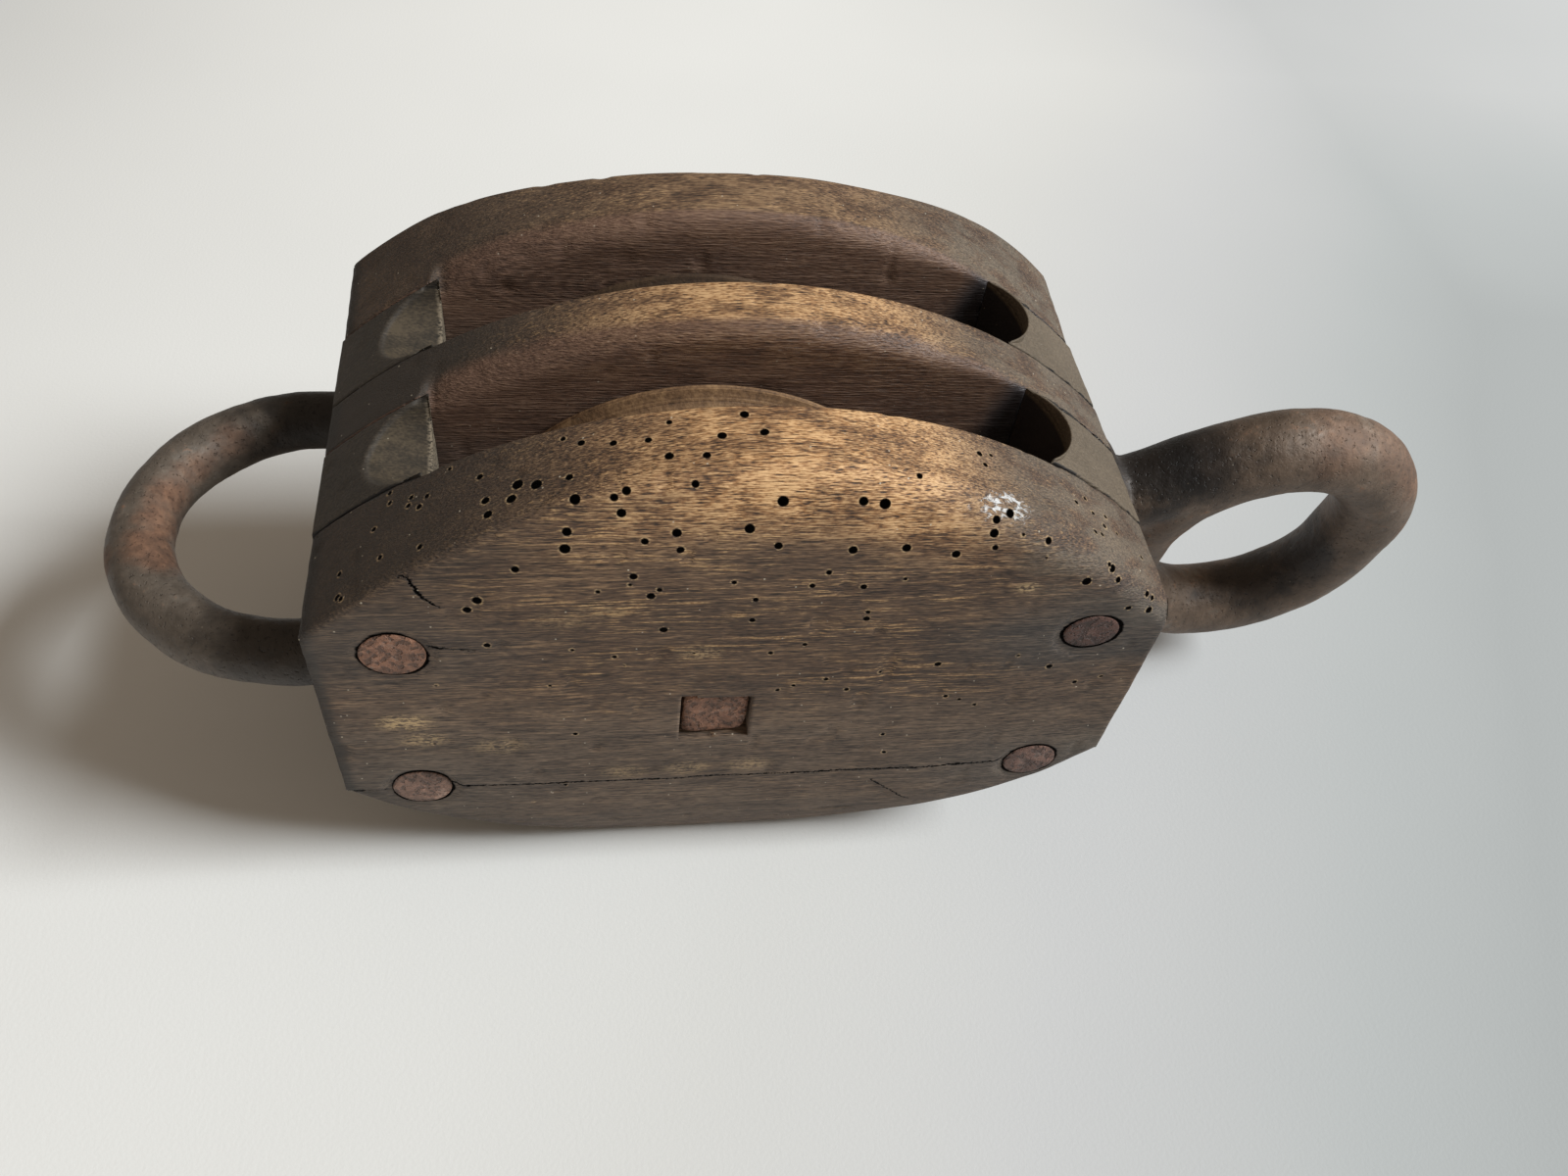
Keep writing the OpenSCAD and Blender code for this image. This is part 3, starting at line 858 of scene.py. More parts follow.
def grey_sheen_and_shade(paint, grain, depth, on_side, shoulder, grey, painted_shade, colour):
    """Lays grey and a painted sheen on the right shoulder, painted shade toward the tail's rims
    and end.
    """
    # weathered grey over the plank, and on the right shoulder a painted sheen of the lamp's light
    grey_and_sheen = (shoulder * 0.8 + grey * 0.40).clamped() * grain.blotches.step(0.36, 0.58)
    colour = paint.mix(grey_and_sheen * 0.80, colour,
                       paint.ramp(grain.speckle * 0.4 + grain.tone * 0.6, GREY_SHEEN_TONES))
    # painted shade: the rims toward the tail, which face away from the lamp, are darkened
    tail_rim_shade = paint.along.step(-0.020, -0.076) * depth.step(0.024, 0.002) * (1 - on_side * 0.45)
    colour = paint.mix(tail_rim_shade * painted_shade, colour, rgb(45, 39, 33))
    # painted shade: a dark band along the tail end's rounded edge
    return paint.mix(paint.along.step(-0.0955, -0.0982) * 0.8, colour, rgb(40, 35, 31))


# %% Layers of the slot walls


def wall_mask(paint, on_side, front):
    """1 on a wall inside a slot, and on the rims that rope has worn round."""
    wall = on_side * (paint.y.magnitude() - (slot_wall + 0.0012)).step(0.0008, -0.0008)
    if front:
        return wall
    roped = paint.x.step(tail_wall - 0.001, tail_wall + 0.004) * paint.along.step(0.070, 0.060)
    return wall.larger((paint.facing_y * -1).step(0.20, 0.60) * roped)


def polished_wall(paint, grain, depth, wall, rings, colour):
    """Lays the polished brown of the slot walls, and near-black painted shade beside the hollows.
    """
    colour = paint.mix(wall * 0.85, colour,
                       paint.ramp(grain.tone, RINGED_WALL_TONES if rings else WALL_TONES))
    # painted shade: the walls beside the head hollows go near-black, wider deeper down
    by_hollow = wall * (paint.along + depth.larger(0.0) * 0.29).step(0.0625, 0.0695)
    return paint.mix(by_hollow * 0.95, colour, rgb(50, 47, 50))


def nested_rings(paint, grain):
    """The curved figure on the rear wall: fine lines at equal distances round a long spot."""
    centre = (middle_x - 0.020, 0.0, middle_z + 0.052)
    away = paint.distance_to(centre, (0.26, 0.0, 1.0)) + grain.blotches * 0.0016
    nested = away.wave(0.0011) * away.step(0.002, 0.004) * away.step(0.018, 0.012)
    return nested * ((paint.facing_y * -1).step(0.05, 0.4) * paint.along.step(0.012, -0.010))


# %% Old wood of the planks


def old_wood(name, seed, gold, grey, painted_shade, front=False, rings=False):
    """Weathered wood of a plank of the shell; gold, grey and painted shade go from 0 to 1."""
    paint = Paint(name)
    grain = Grain(paint, seed)
    depth = paint.depth()
    on_side = paint.facing_y.magnitude().step(0.45, 0.85)
    colour = bare_wood(paint, grain, on_side)
    gilded = gilded_dashes(paint, grain, seed, gold)
    colour = paint.mix(gilded.clamped(), colour, paint.ramp(grain.speckle, GILDED_TONES))
    crest = rubbed_crest(paint, grain, depth, gold)
    colour = paint.mix(crest * 0.88, colour, crest_colour(paint, grain))
    dark_pores = (grain.pores * 0.5 + grain.fibres * 0.5).step(0.44, 0.38)
    colour = paint.mix(dark_pores * 0.60, colour, rgb(40, 29, 22))
    # the right shoulder: a painted sheen in its colour, and a little less rough
    shoulder = paint.along.step(0.028, 0.078) * depth.step(0.020, 0.004)
    colour = grey_sheen_and_shade(paint, grain, depth, on_side, shoulder, grey, painted_shade, colour)

    wall = wall_mask(paint, on_side, front)
    colour = polished_wall(paint, grain, depth, wall, rings, colour)
    if rings:
        colour = paint.mix(nested_rings(paint, grain) * 0.40, colour, rgb(52, 35, 27))
    stain = rivet_stain(paint, grain) * on_side
    colour = paint.mix(stain * 0.85, colour, paint.ramp(grain.tone, STAIN_TONES))
    seam = seam_line(paint, grain.blotches)
    colour = paint.mix(seam, colour, SEAM_BLACK)
    gap = rivet_gap(paint, grain.blotches) * on_side
    dark = gap
    relief = grain.fibres * 0.35 + grain.streaks * 0.25 + grain.pores * 0.25 + gilded * 0.10
    roughness = 0.74 - crest * 0.16 - shoulder * 0.08 - wall * 0.12

    if front:
        smear = white_smear(paint)
        cracks = front_cracks(paint, grain)
        colour = paint.mix(pale_spots(paint, grain) * 0.85, colour, rgb(208, 178, 132))
        colour = paint.mix(smear * 0.8, colour, rgb(216, 218, 219))
        colour = paint.mix(cracks, colour, SEAM_BLACK)
        relief = relief - cracks * 1.6 + smear * 0.3
        roughness = roughness - smear * 0.35
        dark = dark.larger(cracks)
    dust = paint.specks(0.0042, 0.00030, shift=seed) * (1 - wall * 0.5)
    colour = paint.mix(dust * 0.75, colour, rgb(206, 196, 176))
    hole, lip = hole_mask(paint)
    colour = paint.mix(lip * grain.speckle.step(0.44, 0.60) * 0.55, colour, rgb(210, 178, 132))
    dark = dark.larger(hole)
    colour = paint.mix(dark, colour, HOLE_BLACK)
    relief = relief - hole * 3.0 - gap * 1.5 - seam
    return paint.finish(colour, roughness.larger(dark).clamped(), relief, 0.0008, metallic=dark)


front_wood = old_wood("front_elm", seed=1.0, gold=1.0, grey=0.20, painted_shade=0.75, front=True)
rear_wood = old_wood("rear_elm", seed=31.0, gold=0.25, grey=0.50, painted_shade=0.45, rings=True)
partition_wood = old_wood("worn_elm", seed=21.0, gold=0.85, grey=0.30, painted_shade=0.90)
print("plank materials: 3")

# %% [markdown]
# ## End blocks
#
# The short blocks at the ends of the slots are the same elm. At the tail the rope has left
# two smooth dusty scoops, with a painted highlight along the tail wall's edge. At the head
# the deep round hollow where the rope turned is painted near-black: a painted shade.

# %% Wood of the end blocks
TAIL_BLOCK_COLOURS = [rgb(32, 28, 22), rgb(54, 47, 39), rgb(78, 69, 58)]
HEAD_BLOCK_COLOURS = [rgb(70, 60, 48), rgb(94, 82, 67), rgb(118, 104, 87)]
DUSTY_TONES = [(0.40, rgb(37, 31, 22)), (0.50, rgb(55, 46, 34)), (0.60, rgb(75, 64, 48))]


def block_wood(name, seed, scooped):
    """Wood of an end block: a dusty polished scoop at the tail, a hollow in painted shade at the
    head.
    """
    paint = Paint(name)
    grain = Grain(paint, seed)
    below = paint.depth().step(0.0008, 0.0018)
    colours = TAIL_BLOCK_COLOURS if scooped else HEAD_BLOCK_COLOURS
    colour = paint.ramp(grain.tone * 0.7 + grain.speckle * 0.3,
                        list(zip((0.38, 0.50, 0.62), colours)))
    if scooped:
        scoop_dust_and_hollow_shade = below * paint.along.step(-0.098, -0.090)
        dusty = paint.ramp(grain.blotches * 0.6 + grain.speckle * 0.4, DUSTY_TONES)
        colour = paint.mix(scoop_dust_and_hollow_shade * 0.9, colour, dusty)
        wall = tail_wall - middle_x
        arris = below * paint.along.step(wall - 0.0016, wall - 0.0006)
        # painted highlight: a pale broken strip where the tail wall's face catches the light
        arris_highlight = arris * grain.speckle.step(0.38, 0.55) * 0.55
        colour = paint.mix(arris_highlight, colour, rgb(142, 128, 108))
    else:
        # painted shade: the deep head hollow is painted near-black
        scoop_dust_and_hollow_shade = below * paint.along.step(0.0895, 0.0875)
        colour = paint.mix(scoop_dust_and_hollow_shade * 0.98, colour, rgb(36, 32, 34))
    dust = paint.specks(0.0038, 0.00026, shift=seed)
    colour = paint.mix(dust * 0.5, colour, rgb(180, 170, 150))
    colour = paint.mix(seam_line(paint, grain.blotches), colour, SEAM_BLACK)
    relief = (grain.fibres * 0.3 + grain.streaks * 0.35 + grain.speckle * 0.2) * (1 - scoop_dust_and_hollow_shade * 0.5)
    roughness = 0.72 + scoop_dust_and_hollow_shade * (0.16 if scooped else -0.10)
    return paint.finish(colour, roughness.clamped(), relief, 0.0006)


tail_block_wood = block_wood("tail_block_elm", seed=41.0, scooped=True)
head_block_wood = block_wood("head_block_elm", seed=61.0, scooped=False)
print("end block materials: 2")

# %% [markdown]
# ## Iron
#
# Wrought iron that was painted or oiled long ago: brown black, a little shiny where it was
# handled, pitted, with orange rust in patches. Metallic is kept low, because a thick oxide
# skin is no longer metal. The rust on becket and eye sits where the photograph shows it, as
# a few soft spots whose edges the noise breaks up.

# %% Iron
IRON_SHADES = ((0.36, 0.40), (0.47, 0.75), (0.55, 1.0), (0.66, 1.8))
RUST_TONES = [(0.38, rgb(94, 69, 54)), (0.50, rgb(115, 84, 65)), (0.62, rgb(136, 101, 78))]


def iron_spot(paint, patches, spot, ragged, core):
    """A soft spot given as its centre and radius in mm and its strength.

    It is full within its core, a share of the radius, and the patches make it ragged.
    """
    centre, radius, strength = spot
    away = (paint.distance_to(tuple(c * MM for c in centre))
            + (patches - 0.5) * radius * MM * ragged)
    return away.step(radius * MM, radius * MM * core) * strength


def old_iron(name, rust, seed, tint, spots=(), shade_spots=(), metallic=0.25, fineness=1.0):
    """Oxidised wrought iron; rust from 0 to 1 says how much orange shows, spots where most."""
    paint = Paint(name)
    clouds = paint.noise(30.0 * fineness, detail=6.0, roughness=0.62, shift=seed)
    patches = paint.noise(95.0 * fineness, detail=5.0, roughness=0.6, shift=seed + 1)
    fine = paint.noise(420.0 * fineness, detail=4.0, roughness=0.65, shift=seed + 2)
    coarse = fineness > 1
    pits = paint.noise(620.0 if coarse else 1000.0, detail=2.0, shift=seed + 4)
    pits = pits.step(0.50, 0.62) if coarse else pits.step(0.60, 0.72)
    tone = clouds * 0.4 + patches * 0.35 + fine * 0.25
    colour = paint.ramp((tone - 0.5) / (0.75 if coarse else 1.0) + 0.5,
                        [(place, tuple(c * share for c in tint)) for place, share in IRON_SHADES])
    lustre = patches.step(0.55, 0.68) * clouds.step(0.45, 0.55)
    colour = paint.mix(lustre * 0.45, colour, rgb(112, 108, 102))
    bloom = (patches * 0.5 + fine * 0.5).step(0.62 - 0.10 * rust, 0.72 - 0.10 * rust) * 0.8
    for spot in spots:
        bloom = bloom.larger(iron_spot(paint, patches, spot, 1.1, 0.35))
    colour = paint.mix(bloom, colour, paint.ramp(fine * 0.6 + patches * 0.4, RUST_TONES))
    # painted shade: near-black soft spots where the iron lies in shade
    for spot in shade_spots:
        colour = paint.mix(iron_spot(paint, patches, spot, 1.0, 0.4), colour, rgb(27, 26, 27))
    colour = paint.mix(pits * (0.5 if coarse else 0.3), colour, rgb(32, 26, 22))
    dust = paint.specks(0.0045, 0.0003, shift=seed)
    colour = paint.mix(dust * 0.35, colour, rgb(160, 148, 130))
    roughness = (0.50 + fine * 0.15 + bloom * 0.25 - lustre * 0.12).clamped()
    height = patches * 0.5 + fine * 0.5 - pits * (0.6 if coarse else 0.3)
    return paint.finish(colour, roughness, height, 0.0012 if coarse else 0.0007,
                        metallic=metallic)


# %% Irons of the block
BECKET_SPOTS = [((-166.0, -12.0, 81.0), 11.0, 0.9), ((-164.5, -2.0, 81.0), 12.0, 0.95),
                ((-163.0, 6.0, 81.0), 12.0, 0.95), ((-159.0, 15.0, 81.5), 11.0, 0.85),
                ((-152.5, 24.0, 82.0), 10.0, 0.7), ((-180.0, -14.0, 76.0), 6.0, 0.55)]
# painted shade on the becket's legs, where the tail end shades them
BECKET_SHADE_SPOTS = [((-131.0, 42.0, 76.0), 30.0, 0.8), ((-133.0, -42.0, 76.0), 24.0, 0.6)]
EYE_SPOTS = [((140.0, -9.0, 112.0), 14.0, 0.45), ((158.0, -9.0, 110.0), 13.0, 0.45),
             ((168.0, -9.0, 104.0), 13.0, 0.55), ((173.0, -8.0, 98.0), 14.0, 0.6),
             ((180.0, -6.0, 78.0), 10.0, 0.6), ((112.0, -8.0, 76.0), 12.0, 0.5),
             ((98.0, -8.0, 84.0), 8.0, 0.5)]
# painted shade at the eye's root and inside the bottom of its ring
EYE_SHADE_SPOTS = [((94.0, -4.0, 97.0), 20.0, 0.9), ((106.0, -6.0, 103.0), 17.0, 0.75),
            ((146.0, 2.0, 44.0), 19.0, 0.75), ((157.0, 0.0, 56.0), 17.0, 0.8)]
PIN_TINT = rgb(140, 100, 78)
RIVET_TINTS = [rgb(140, 100, 78), rgb(142, 110, 94), rgb(98, 68, 58), rgb(112, 84, 73)]

becket_iron = old_iron("becket_iron", rust=0.25, seed=2.0, tint=rgb(104, 94, 84),
                       shade_spots=BECKET_SHADE_SPOTS, spots=BECKET_SPOTS)
eye_iron = old_iron("eye_iron", rust=0.5, seed=12.0, tint=rgb(110, 93, 79),
                    spots=EYE_SPOTS, shade_spots=EYE_SHADE_SPOTS)
rivet_irons = [old_iron(f"rivet_rust_{number}", rust=0.15, seed=32.0 + 3 * number, tint=tint,
                        metallic=0.1, fineness=3.5)
               for number, tint in enumerate(RIVET_TINTS, start=1)]
pin_iron = old_iron("pin_rust", rust=0.30, seed=47.0, tint=PIN_TINT, metallic=0.1, fineness=3.5)
print("iron materials:", 3 + len(rivet_irons))

# %% [markdown]
# ## Sheave wood and brass
#
# The sheaves are turned from a very hard oily wood, dark and close. Turning leaves rings
# round the pin, so part of the figure is a noise of the distance from the pin alone. The
# coaks that bush them are brass gone brown.

# %% Sheave wood and brass
SHEAVE_TONES = [(0.38, rgb(68, 49, 33)), (0.50, rgb(114, 86, 60)), (0.62, rgb(150, 118, 84))]
BRASS_TONES = [(0.35, rgb(72, 52, 30)), (0.55, rgb(128, 98, 54)), (0.70, rgb(164, 132, 78))]


def sheave_wood(name, painted_shade):
    """Turned hard wood; the second number, 0 to 1, darkens it all as painted shade."""
    paint = Paint(name)
    grain = paint.noise((120.0, 40.0, 120.0), detail=5.0, roughness=0.6, distortion=0.6)
    fine = paint.noise(900.0, detail=3.0)
    away = paint.distance_to((pin_x, 0.0, pin_z), (1.0, 0.0, 1.0))
    thread = paint.add("ShaderNodeCombineXYZ", {}, {"X": away * 1600.0, "Y": paint.y * 1600.0})
    noise = paint.add("ShaderNodeTexNoise", {},
                      {"Vector": thread.outputs["Vector"], "Scale": 1.0, "Detail": 2.0})
    turning = Field(paint, noise.outputs["Fac"])
    colour = paint.ramp(grain * 0.45 + fine * 0.3 + turning * 0.25, SHEAVE_TONES)
    # painted shade: darkens the whole sheave, for the rear one that lies in the slot's shade
    colour = paint.mix(painted_shade, colour, rgb(40, 31, 25))
    inside = away.step(sheave_radius - 0.006, sheave_radius - 0.012)
    colour = paint.mix(inside * 0.5, colour, rgb(52, 36, 27))
    dust = paint.specks(0.004, 0.00028)
    colour = paint.mix(dust * 0.5, colour, rgb(186, 172, 148))
    return paint.finish(colour, 0.62, grain * 0.3 + fine * 0.4 + turning * 0.3, 0.0004)


def old_brass():
    """Brass gone brown, for the coaks."""
    paint = Paint("brown_brass")
    colour = paint.ramp(paint.noise(60.0, detail=5.0), BRASS_TONES)
    return paint.finish(colour, 0.45, paint.noise(300.0, detail=4.0), 0.0002, metallic=0.8)


# the rear sheave is darkened as painted shade
sheave_materials = {"front_sheave": sheave_wood("sheave_wood", 0.0),
                    "rear_sheave": sheave_wood("shaded_sheave_wood", 0.75)}
brass_material = old_brass()

# %% [markdown]
# ## Cheeks
#
# The two cheeks are the outer planks of the shell. Each is flat in a band along the middle
# of its outer face, thins toward the curved rims and a little toward the ends. The rims on
# the far side of each slot are worn round by the rope, and the others are still crisp. The
# front cheek's right shoulder has been handled until it is quite round.

# %% Bend a box to the shell's outline
TAIL_END_FALL = 0.5 * MM
HEAD_END_FALL = 1.6 * MM


def to_outline(points, keep=8 * MM):
    """Moves the points of an upright box to the curved outline.

    Within the distance kept from the upper or lower face, a point keeps its depth below
    that face. Between those two bands, heights are scaled in proportion.
    """
    x, z = points[:, 0], points[:, 2]
    height = edge_height(x)
    inner = half_height - keep
    scaled = z / inner * (height - keep)
    banded = np.sign(z) * (height - (half_height - np.abs(z)))
    points[:, 2] = np.where(np.abs(z) < inner, scaled, banded)
    return points


def crown_drop(z):
    """How far the outer face falls back at a height: an arc that begins at the flat band."""
    run = half_height - FLAT_BAND_HALF
    fall = (outer_face - slot_wall) - CHEEK_RIM
    radius = (run ** 2 + fall ** 2) / (2 * fall)
    beyond = np.clip(np.abs(z) - FLAT_BAND_HALF, 0, run)
    return radius - np.sqrt(radius ** 2 - beyond ** 2)


def end_drop(x):
    """How far the front cheek's outer face falls back toward the ends, more at the head."""
    fall = np.where(x < middle_x, TAIL_END_FALL, HEAD_END_FALL)
    return fall * smoothstep(np.abs(x - middle_x), 52 * MM, 104 * MM)


def roughen(points, quads, seed, amount=1.0):
    """Moves points inward along their normals by layers of noise: dents, long ridges, chips.

    A plank is worked out round the shell's middle, and is lifted to its height here.
    """
    normals = vertex_normals(points, quads)
    dents = smooth_noise(points, 22 * MM, seed) * 0.40 * MM
    ridges = smooth_noise(points, (40 * MM, 3 * MM, 3 * MM), seed + 1) * 0.18 * MM
    chips = np.maximum(smooth_noise(points, 5 * MM, seed + 2) - 0.74, 0) * 1.8 * MM
    moved = points - normals * ((dents + ridges + chips) * amount)[:, None]
    return moved + [0, 0, middle_z]


def mirrored(points, quads, side):
    """The same surface on the other side of the block, turned right way out, for side -1."""
    if side < 0:
        return points * [1, -1, 1], quads[:, ::-1]
    return points, quads


# %% Radii and lines of the planks
SLOT_RIM_ROUND = 6 * MM
CRISP_ROUND = 1.0 * MM
SEAM_ROUND = 0.6 * MM
CORNER_ROUND = 1.2 * MM
OUTER_ROUND = 1.4 * MM
HANDLED_ROUND = 2.0 * MM
HANDLED_GROWTH = 5.5 * MM
REAR_RIM_LIFT = 2.4 * MM
SLIVER_TOP = -31.2 * MM
SLIVER_FALL = 1.1 * MM
SLOT_FADE = 3 * MM
STEP = 0.95 * MM
SQUARE_HALF = 8.7 * MM
SQUARE_WALL_HALF = 0.05 * MM


def slot_rim_round(x):
    """Radius of a slot's rear rim: the rope wore it wide toward the tail, less at the head."""
    wider = 0.6 * smoothstep(middle_x - x, 5 * MM, 55 * MM)
    narrower = 0.6 * smoothstep(x - middle_x, 42 * MM, 66 * MM)
    return SLOT_RIM_ROUND * (1 + wider - narrower)


def inner_round(x, worn):
    """Radius of an inner edge: the worn one along the slots, a seam's over the end blocks."""
    in_slot = (smoothstep(x, tail_wall - SLOT_FADE, tail_wall)
               * smoothstep(-x, -head_wall - SLOT_FADE, -head_wall))
    return SEAM_ROUND + (worn - SEAM_ROUND) * in_slot


def square_lines(centre):
    """Pairs of lines at the two walls of the pin's square hole, so that they stay upright."""
    return [centre + side * (SQUARE_HALF + near) for side in (-1, 1)
            for near in (-SQUARE_WALL_HALF, SQUARE_WALL_HALF)]


# %% Cheek surface


def cheek_surface(side, seed):
    """The outer plank on one side, -1 front or 1 rear, worked out for the rear and mirrored.

    The box lattice is bent to the outline, and the rear plank's rim rises a little toward
    both ends. Each long edge is rounded with its own radius. The outer face then falls back
    toward the rims and ends, and on the front plank the sliver below the long crack falls
    back a little more toward the tail.
    """
    points, quads = box_lattice(ruled(tail_end, head_end, STEP, square_lines(pin_x)),
                                ruled(slot_wall, outer_face, STEP),
                                ruled(-half_height, half_height, STEP,
                                      square_lines(pin_z - middle_z)))
    x, y, z = to_outline(points).T
    front, rear = side < 0, side > 0
    lift = REAR_RIM_LIFT * smoothstep(np.abs(x - middle_x), 30 * MM, 80 * MM) * rear
    rim = edge_height(x) + lift * (y - slot_wall) / (outer_face - slot_wall)
    z = z * rim / edge_height(x)
    worn = slot_rim_round(x) if rear else CRISP_ROUND
    inner_depth, rim_depth = eased(y - slot_wall, rim - np.abs(z), inner_round(x, worn))
    y = slot_wall + inner_depth
    z = np.sign(z) * (rim - rim_depth)
    growth = HANDLED_GROWTH * smoothstep(x - middle_x, -30 * MM, 80 * MM)
    handled = (HANDLED_ROUND + growth) * front
    outer_depth, rim_depth = eased(outer_face - y, rim - np.abs(z), OUTER_ROUND + handled)
    y = outer_face - outer_depth
    z = np.sign(z) * (rim - rim_depth)
    end_depth = half_length - np.abs(x - middle_x)
    end_depth, outer_depth = eased(end_depth, outer_face - y, CORNER_ROUND)
    y = outer_face - outer_depth
    end_depth, rim_depth = eased(end_depth, rim - np.abs(z), CORNER_ROUND)
    z = np.sign(z) * (rim - rim_depth)
    x = middle_x + np.sign(x - middle_x) * (half_length - end_depth)
    outer_share = (y - slot_wall) / (outer_face - slot_wall)
    sliver = SLIVER_FALL * (z < SLIVER_TOP) * smoothstep(middle_x - x, 40 * MM, 85 * MM) * front
    y = y - (crown_drop(z) + end_drop(x) * front + sliver) * outer_share
    return roughen(np.stack([x, y, z], axis=1), quads, seed), quads


# %% Seats of the rivets and the pin's square hole
SEAT_DEPTH = 0.35 * MM
SQUARE_DEPTH = 7 * MM


def seat_rivets(points):
    """Flattens the outer face round each rivet, and returns the points and the seats' levels."""
    levels = []
    for place in rivet_places:
        away = np.hypot(points[:, 0] - place[0], points[:, 2] - place[2])
        outside = points[:, 1] > outer_face - 8 * MM
        seat = points[outside & (away < rivet_head_radius), 1]
        level = np.percentile(seat, 35) - SEAT_DEPTH
        share = smoothstep(away, rivet_head_radius + 0.5 * MM, rivet_head_radius + 3 * MM)
        flattened = level + (points[:, 1] - level) * share
        points[:, 1] = np.where(outside & (share < 1), flattened, points[:, 1])
        levels.append(level)
    return points, levels


def sink_square(points):
    """Sinks the square hole for the pin's end into the face, straight back."""
    in_square = ((np.abs(points[:, 0] - pin_x) < SQUARE_HALF)
                 & (np.abs(points[:, 2] - pin_z) < SQUARE_HALF))
    on_face = points[:, 1] > outer_face - 3 * MM
    points[:, 1] = np.where(in_square & on_face, points[:, 1] - SQUARE_DEPTH, points[:, 1])
    return points


# %% [markdown]
# ### Places of the worm holes
#
# The front cheek's holes stand where the photograph shows them, in mm from the middle of
# the shell: along and height on the face, along and across on the upper rim, and then the
# radius. The rear cheek gets holes at random places, fewer and with the same sizes.

# %% Worm holes as numbers
FACE_HOLES = [
    (-16.3, 71.2, 0.9), (-32.8, 68.7, 1.0), (2.0, 67.5, 1.2), (19.1, 67.3, 1.0),
    (23.8, 66.7, 1.2), (-31.3, 65.4, 1.0), (49.3, 62.6, 0.9), (-4.7, 61.6, 1.1),
    (-42.4, 61.5, 1.0), (-19.9, 60.9, 1.0), (49.0, 59.5, 1.1), (56.1, 58.4, 0.5),
    (62.5, 57.3, 0.8), (-26.5, 59.0, 0.8), (1.7, 57.4, 0.9), (29.8, 56.3, 1.0),
    (-42.9, 57.5, 1.2), (49.8, 55.9, 0.7), (18.0, 56.0, 1.0), (-19.0, 56.7, 0.9),
    (41.2, 54.4, 1.0), (62.4, 52.7, 0.7), (-53.2, 52.6, 0.9), (13.4, 50.1, 0.7),
    (-28.8, 50.1, 0.9), (30.8, 47.8, 0.5), (83.5, 45.4, 0.7), (-7.2, 47.9, 0.6),
    (73.9, 45.0, 1.1), (10.1, 46.4, 0.7), (21.7, 45.7, 0.8), (-23.2, 46.1, 0.7),
    (-25.0, 44.3, 1.0), (-61.6, 44.0, 1.2), (-2.1, 42.5, 0.7), (-63.8, 41.1, 0.9),
    (87.3, 35.0, 0.7), (23.9, 37.5, 0.6), (93.3, 33.3, 0.9), (23.9, 35.2, 0.8),
    (-2.3, 35.8, 0.7), (-21.9, 32.9, 1.0), (10.8, 26.2, 0.6), (-60.5, 29.2, 0.8),
    (3.1, 23.2, 0.6), (64.3, 18.8, 0.5), (44.6, 16.4, 0.9), (73.8, 13.2, 0.8),
    (30.8, 13.9, 0.5), (23.4, 7.4, 0.6), (49.5, 2.4, 0.7), (58.0, -1.8, 0.6), (82.8, 5.5, 0.6),
    (89.5, 7.0, 0.5), (53.4, 0.8, 0.6), (36.2, -13.9, 0.6), (38.0, -22.6, 0.6),
    (17.7, 12.0, 0.6), (6.4, 7.9, 0.6), (10.0, 9.8, 0.5), (-42.1, 26.4, 0.6),
    (-32.7, 23.3, 0.7), (-30.5, 19.7, 0.5), (-14.7, 23.8, 0.5), (-42.1, -7.6, 0.6),
    (-75.8, -10.0, 0.6), (-72.9, 14.5, 0.5), (-47.5, 13.0, 0.5), (-36.3, 46.0, 0.6),
    (-29.5, 47.8, 0.5), (-45.1, -31.8, 0.6), (-53.5, -40.4, 0.5),
]
RIM_HOLES = [
    (-4.7, -37.8, 1.0), (-20.7, -38.6, 0.7), (-1.0, -43.3, 1.0), (-10.0, -44.0, 1.0),
    (-42.9, -38.4, 0.6), (-25.3, -43.2, 0.8), (-39.1, -40.8, 0.8), (-32.5, -42.6, 0.8),
    (48.4, -41.7, 0.7), (-21.3, -48.6, 1.0), (-13.6, -49.4, 0.9), (51.5, -41.0, 0.5),
    (49.1, -44.9, 0.6), (-67.2, -37.0, 0.5), (31.6, -53.1, 0.8), (-60.4, -42.8, 0.7),
    (-41.7, -50.1, 0.8), (-52.3, -48.5, 1.2), (-48.4, -50.0, 1.2), (-30.3, -56.1, 1.0),
    (-40.6, -56.1, 1.1), (-53.6, -52.0, 1.1), (-59.0, -50.3, 0.9), (-58.4, -54.4, 1.0),
    (52.7, -58.6, 1.0), (-72.6, -56.5, 0.7), (81.0, -60.7, 0.5), (82.0, -61.8, 0.9),
    (-89.7, -60.3, 0.6), (-80.8, -36.1, 0.6), (-80.5, -39.3, 0.6), (-75.5, -40.8, 0.6),
    (-71.9, -42.5, 0.6), (-73.5, -44.7, 0.7), (-76.0, -42.9, 0.6), (-83.6, -45.0, 0.6),
    (-81.4, -54.4, 0.6), (-90.8, -52.8, 0.6), (-90.5, -59.5, 0.8), (73.8, -45.5, 0.6),
    (77.6, -42.1, 0.6), (78.7, -46.1, 0.6), (83.2, -44.6, 0.6), (81.4, -48.6, 0.7),
    (76.9, -53.0, 0.6), (79.1, -52.6, 0.6), (85.5, -48.4, 0.5), (92.7, -51.2, 0.6),
    (95.7, -62.5, 0.6), (93.5, -62.5, 0.7),
]


HOLE_REACH = 1.5 * MM
LEVEL_SLACK = 0.7 * MM


